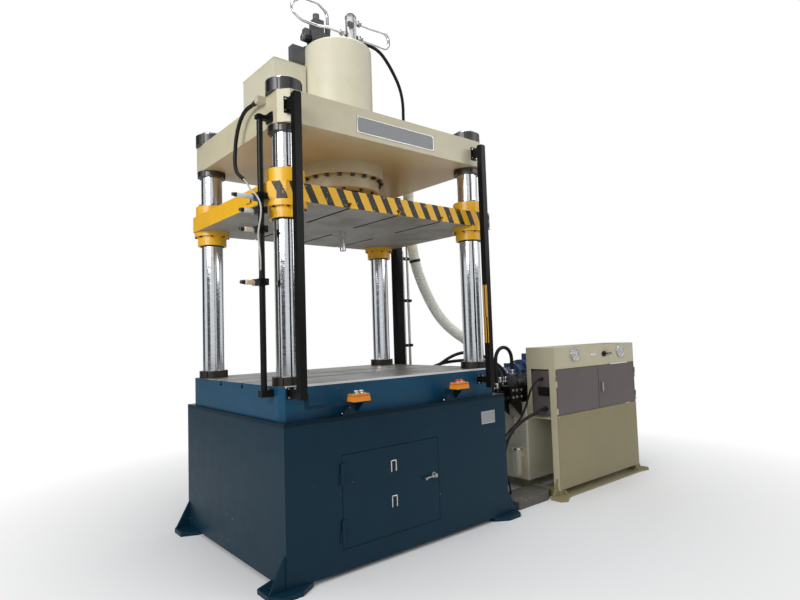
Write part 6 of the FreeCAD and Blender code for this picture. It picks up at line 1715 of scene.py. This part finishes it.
@dataclass
class ConsoleDetails:
    """The instrument strip, the doors' furniture and the shelf's screws."""

    left: float = 1.430
    front: float = -0.672
    post: float = 0.055
    selector: tuple[float, float] = (0.684, 1.034)
    lock: float = 0.6285

    def build(self, kit: Kit) -> None:
        """Make the console's small pieces."""
        x, y = self.left, self.front
        sx, sz = self.selector
        ahead = (0, -1, 0)
        lamp = rounded_box((0.070, 0.022, 0.010), 0.008, 0.0015).placed((x + 0.520, y - 0.0055, 1.035), ahead)
        kit.piece("lamp_bar", lamp, WHITE_PLASTIC)
        plate = revolved([(0.029, 0.0), (0.029, 0.0012), (0.027, 0.0020), (0.0235, 0.0022)], 48)
        kit.piece("selector_plate", plate.placed((x + sx, y + 0.0001, sz), ahead), PLATED)
        mark = slab((0.030, -0.0012, 0.0), (0.088, 0.0012, 0.0007), 0.0002)
        kit.piece("selector_mark", mark.placed((x + sx, y - 0.0240, sz), ahead), WHITE_PLASTIC,
                  "selector_knob")
        lock = rounded_box((0.030, 0.100, 0.0024), 0.010,
                           0.0006).placed((x + self.lock, y - 0.0040, 0.768), ahead)
        kit.piece("door_lock_plate", lock, MAUVE, "unit_leaf_right")
        keyhole = revolved([(0.0045, 0.0), (0.0045, 0.0012), (0.0015, 0.0016)], 20)
        kit.piece("door_lock_core", keyhole.placed((x + self.lock, y - 0.0198, 0.790), ahead), PLATED,
                  "handle")
        for body, x0, x1 in (("unit_leaf_left", x + 0.010, x + 0.5835),
                             ("unit_leaf_right", x + 0.5865, x + 1.160)):
            edge = rim(x1 - x0 - 0.002, 0.340, 0.004, 0.0011)
            kit.piece(f"{body}_rim", edge.placed(((x0 + x1) / 2, y - 0.0029, 0.771), ahead), MAUVE, body)
        screws = lattice(x + np.array([0.020, 0.400, 0.770, 1.150]), [y - 0.003], [0.070, 0.583])
        kit.piece("panel_screws", rivet(0.010, 0.003).scattered(screws, ahead), PLATED)
        strip = lattice(x + np.array([0.020, 1.150]), [y], [0.962, 1.095])
        kit.piece("strip_screws", rivet(0.009, 0.003).scattered(strip, ahead), PLATED)
        face = slab((1.4490, y + self.post + 0.0050, 0.5905), (1.4502, -0.4140, 0.9290), 0.0003)
        kit.piece("gland_plate_face", face, MAUVE)
        box = slab((1.4286, y + self.post + 0.0070, 0.7440), (1.4505, y + self.post + 0.1050, 0.8090), 0.0015)
        kit.piece("junction_box_cover", box, BLACK_PLASTIC)
        bead = slab((x - 0.0006, y - 0.0006, 1.1064), (x + 1.1706, y + 0.2626, 1.1104), 0.0012)
        kit.piece("console_top_fold", bead, STRIP_CREAM)
        for name, place, size in (("console", (1.450, -0.542, 0.870), 0.016),
                                  ("supply", (1.450, -0.566, 0.645), 0.024)):
            nut = hex_bolt(size + 0.014, 0.010)
            kit.piece(f"{name}_gland_nut", nut.placed((place[0] + 0.006, place[1], place[2]), (-1, 0, 0)),
                      BLACK_PLASTIC)


@dataclass
class MotorDetails:
    """Cowl grille rings and lip, terminal box lid with its screws and gland, bell housing bolts, and the
    pump's joint band and cover screws.
    """

    start: float = 1.930
    y: float = 0.050
    z: float = 0.862
    radius: float = 0.115
    length: float = 0.400
    box: float = 0.140

    def build(self, kit: Kit) -> None:
        """Make the motor's outer pieces."""
        x, y, z, r = self.start, self.y, self.z, self.radius
        end = x + self.length
        rings = [ring_profile([(q, 0.0), (q + 0.003, 0.0), (q + 0.003, 0.0024), (q, 0.0024)], 56)
                 for q in (0.030, 0.046, 0.062, 0.078)]
        kit.piece("cowl_rings", joined(*rings).placed((end - 0.0006, y, z), (1, 0, 0)), MOTOR_BLUE)
        lip = ring_profile([(r - 0.004, 0.0), (r + 0.0012, 0.0), (r + 0.0012, 0.006), (r - 0.004, 0.008)], 72)
        kit.piece("cowl_lip", lip.placed((end - 0.006, y, z), (1, 0, 0)), MOTOR_BLUE)
        lid = rounded_box((0.104, 0.104, 0.006), 0.008, 0.0015).placed((x + self.box, y, z + r + 0.054))
        kit.piece("terminal_box_lid", lid, MOTOR_BLUE)
        screws = four_round(x + self.box, y, z + r + 0.057, 0.044, 0.044)
        kit.piece("terminal_box_screws", socket_bolt(0.008, 0.003).scattered(screws), PLATED)
        gland = revolved([(0.011, 0.0), (0.011, 0.008), (0.009, 0.012), (0.008, 0.024), (0.005, 0.026)], 24)
        kit.piece("terminal_box_gland", gland.placed((x + self.box, y - 0.050, z + r + 0.026), (0, -1, 0)),
                  BLACK_PLASTIC)
        bolts = around(0.100, 8, 0.0, start=0.39)
        heads = hex_bolt(0.014, 0.006).scattered(bolts).placed((x - 0.022, y, z), (-1, 0, 0))
        kit.piece("bell_housing_bolts", heads, PLATED)
        body = revolved([(0.0705, 0.0), (0.0705, 0.004), (0.068, 0.006), (0.068, 0.010), (0.0705, 0.012)], 56)
        kit.piece("pump_joint_band", body.placed((x - 0.250, y, z), (-1, 0, 0)), PLATED)
        cap = socket_bolt(0.014, 0.008).scattered(around(0.045, 4, 0.0, start=0.785))
        kit.piece("pump_cover_screws", cap.placed((x - 0.276, y, z), (-1, 0, 0)), BLACKED)


@dataclass
class BlockDetails:
    """Screws, plugs and coil ends on the valve block."""

    corner: Point = (1.270, -0.370, 0.698)
    height: float = 0.118

    def build(self, kit: Kit) -> None:
        """Make the valve block's small pieces."""
        x, y, z = self.corner
        plugs = lattice(x + np.array([0.030, 0.075, 0.130]), [y], z + np.array([0.034, 0.086]))
        kit.piece("block_plugs", socket_bolt(0.022, 0.006).scattered(plugs, (0, -1, 0)), PLATED)
        top = z + self.height
        screws, coils, sockets = [], [], []
        for dy in (0.028, 0.084, 0.140):
            screws += [(x + dx, y + dy + sy * 0.016, top + 0.060) for dx in (0.208, 0.270) for sy in (-1, 1)]
            coils += [hex_bolt(0.020, 0.008).placed((x + 0.146, y + dy, top + 0.032), (-1, 0, 0)),
                      hex_bolt(0.020, 0.008).placed((x + 0.332, y + dy, top + 0.032), (1, 0, 0))]
            for dx in (0.172, 0.306):
                cover = rounded_box((0.030, 0.033, 0.006), 0.005, 0.0015)
                sockets.append(cover.placed((x + dx, y + dy, top + 0.0840)))
        kit.piece("valve_screws", socket_bolt(0.009, 0.006).scattered(np.array(screws)), BLACKED)
        kit.piece("coil_nuts", joined(*coils), PLATED)
        kit.piece("coil_plug_covers", joined(*sockets), BLACK_PLASTIC)
        corners = lattice(x + np.array([0.016, 0.130]), y + np.array([0.016, 0.169]), [top])
        kit.piece("block_screws", socket_bolt(0.016, 0.012).scattered(corners), BLACKED)
        nuts = [hex_bolt(0.024, 0.012).placed((x + dx, y - 0.026, z + 0.060), (0, -1, 0))
                for dx in (0.200, 0.250)]
        kit.piece("block_front_nuts", joined(*nuts), PLATED)
        knobs = []
        for dy, dz, reach in ((0.020, 0.030, 0.076), (0.120, 0.084, 0.096), (0.160, 0.036, 0.060)):
            knobs.append(hex_bolt(0.026, 0.008).placed((x - 0.030, y + dy, z + dz), (-1, 0, 0)))
            grip = revolved([(0.0128, 0.0), (0.0136, 0.002), (0.0136, 0.010), (0.0128, 0.012)], 24)
            knobs.append(grip.placed((x - reach + 0.020, y + dy, z + dz), (-1, 0, 0)))
        kit.piece("relief_valve_knobs", joined(*knobs), BLACKED)


@dataclass
class OilTankDetails:
    """Sight glass, filler cap, lid screws and hose neck of the oil tank, and the filter's rings."""

    left: float = 1.430
    front: float = -0.390
    back: float = 0.470
    top: float = 0.686
    sight: tuple[float, float] = (-0.264, 0.490)
    filter_at: tuple[float, float] = (1.378, -0.324)

    def build(self, kit: Kit) -> None:
        """Make the oil tank's small pieces."""
        left, (sy, sz) = (-1, 0, 0), self.sight
        glass = rounded_box((0.018, 0.118, 0.0020), 0.008, 0.0004).placed((1.4196, sy, sz), left)
        kit.piece("sight_glass", glass, CLEAR)
        back = rounded_box((0.019, 0.120, 0.0006), 0.008).placed((1.4202, sy, sz), left)
        kit.piece("sight_glass_back", back, WHITE_PLASTIC)
        bolts = lattice([1.4195], [sy], [0.428, 0.552])
        kit.piece("sight_glass_bolts", hex_bolt(0.012, 0.005).scattered(bolts, left), PLATED)
        cap = revolved([(0.0425, 0.0), (0.0435, 0.004), (0.0435, 0.020), (0.0400, 0.026), (0.0395, 0.030),
                        (0.0120, 0.0325), (0.0, 0.033)], 48)
        kit.piece("filler_cap", cap.placed((2.440, 0.320, self.top + 0.026)), BLACK_PLASTIC)
        x = np.linspace(self.left + 0.030, 2.570, 7)
        edge = lattice(x[[1, 2, 4, 6]], [self.front + 0.006, self.back - 0.004], [self.top])
        kit.piece("tank_lid_screws", hex_bolt(0.013, 0.006, 0.018).scattered(edge), PLATED)
        neck = around(0.056, 6, self.top + 0.010, (1.500, 0.110), 0.3)
        kit.piece("hose_collar_screws", hex_bolt(0.010, 0.005).scattered(neck), PLATED)
        fx, fy = self.filter_at
        rings = lattice([fx], [fy], [0.150, 0.300])
        band = ring_profile([(0.0358, 0.0), (0.0378, 0.001), (0.0378, 0.005), (0.0358, 0.006)], 40)
        kit.piece("filter_bands", band.scattered(rings), CREAM)
        bright = revolved([(0.0425, 0.0), (0.0425, 0.012), (0.0400, 0.0175), (0.0, 0.0185)], 48)
        kit.piece("filter_cap_cover", bright.placed((fx, fy, 0.318)), PLATED)


@dataclass
class ServiceDetails:
    """Bolts of the pipe clamps on the service post, and the union on one of its pipes."""

    pipe_y: float = 0.500
    pipes: tuple[float, ...] = (0.940, 0.984, 1.031)
    clamps: tuple[float, ...] = (1.150, 1.535, 1.900)

    def build(self, kit: Kit) -> None:
        """Place the bolts."""
        places = np.array([(x, self.pipe_y - 0.014, z) for z in self.clamps for x in self.pipes])
        kit.piece("pipe_clamp_bolts", hex_bolt(0.010, 0.006).scattered(places, (0, -1, 0)), PLATED)
        union = hex_bolt(0.032, 0.020).placed((1.011, 0.500, 2.012))
        kit.piece("pipe_union_nut", union, PLATED)


def dress_nodes(kit: Kit) -> None:
    """Give every CAD node that stays its finish."""
    finishes = {
        TEAL: ["base_floor", "base_walls", "base_front", "base_feet", "base_door", "station_brackets"],
        # The cabinet's top ledge gets the darkened blue: painted shade under the bed.
        LEDGE_SHADED_BLUE: ["base_top"],
        BED_BLUE: ["bed_table"],
        CROWN_CREAM: ["crown", "main_cylinder"],
        CREAM: ["prefill_tank", "top_box", "unit_tank", "unit_filter"],
        YELLOW: ["platen"],
        BUSH_YELLOW: ["platen_bushes"],
        OLIVE: ["unit_panel", "unit_skid"],
        STRIP_CREAM: ["unit_console"],
        MAUVE: ["unit_door_left", "unit_door_right"],
        BLACK: ["guard_post_left", "guard_post_right", "service_post", "limit_rod"],
        BLACKED: ["bed_nuts", "unit_manifold"],
        NUT_STEEL: ["crown_nuts"],
        CHROME: ["column_front_left", "column_front_right", "column_rear_left", "column_rear_right",
                 "pilot_tubes"],
        RAM_CHROME: ["ram"],
        GROUND: ["limit_switches", "door_latch", "motor_rotor"],
        PLATED: ["gauges", "service_pipes", "unit_handle"],
        MACHINE_GREY: ["pilot_valves", "unit_valves"],
        CHANNEL_GREY: ["floor_channel"],
        MOTOR_BLUE: ["unit_motor", "unit_pump"],
        ALUMINIUM: ["label_plate"],
        PLATE_GREY: ["name_plate"],
        ORANGE: ["button_box_left", "button_box_right"],
        GREEN: ["push_button_left"],
        RED: ["push_button_right"],
        BLACK_PLASTIC: ["selector"],
    }
    for finish, nodes in finishes.items():
        for node in nodes:
            kit.dress(node, finish)


def main() -> None:
    """Build the scene in order: camera and light, hoses, finishes, details."""
    logging.basicConfig(level=logging.INFO, format="%(name)s: %(message)s")
    bpy.context.scene.view_settings.view_transform = "Standard"
    Studio().build()
    kit = Kit()
    Hoses().build(kit)
    dress_nodes(kit)
    details = [
        CylinderDetails(), PlateDetails(), PlatenDetails(), FrameDetails(), TankTopDetails(), GuardDetails(),
        StationDetails("left", -0.429, WHITE_PLASTIC, "button_l"),
        StationDetails("right", 0.330, RED, "button_r"),
        LimitSwitchDetails(), DoorDetails(), GaugeDetails("left_gauge", 1.688, 0.04),
        GaugeDetails("right_gauge", 2.368, 0.36), ConsoleDetails(), MotorDetails(), BlockDetails(),
        OilTankDetails(), ServiceDetails(),
    ]
    for detail in details:
        detail.build(kit)
    LOG.info("%d mesh pieces", kit.count)


if __name__ == "__main__":
    main()
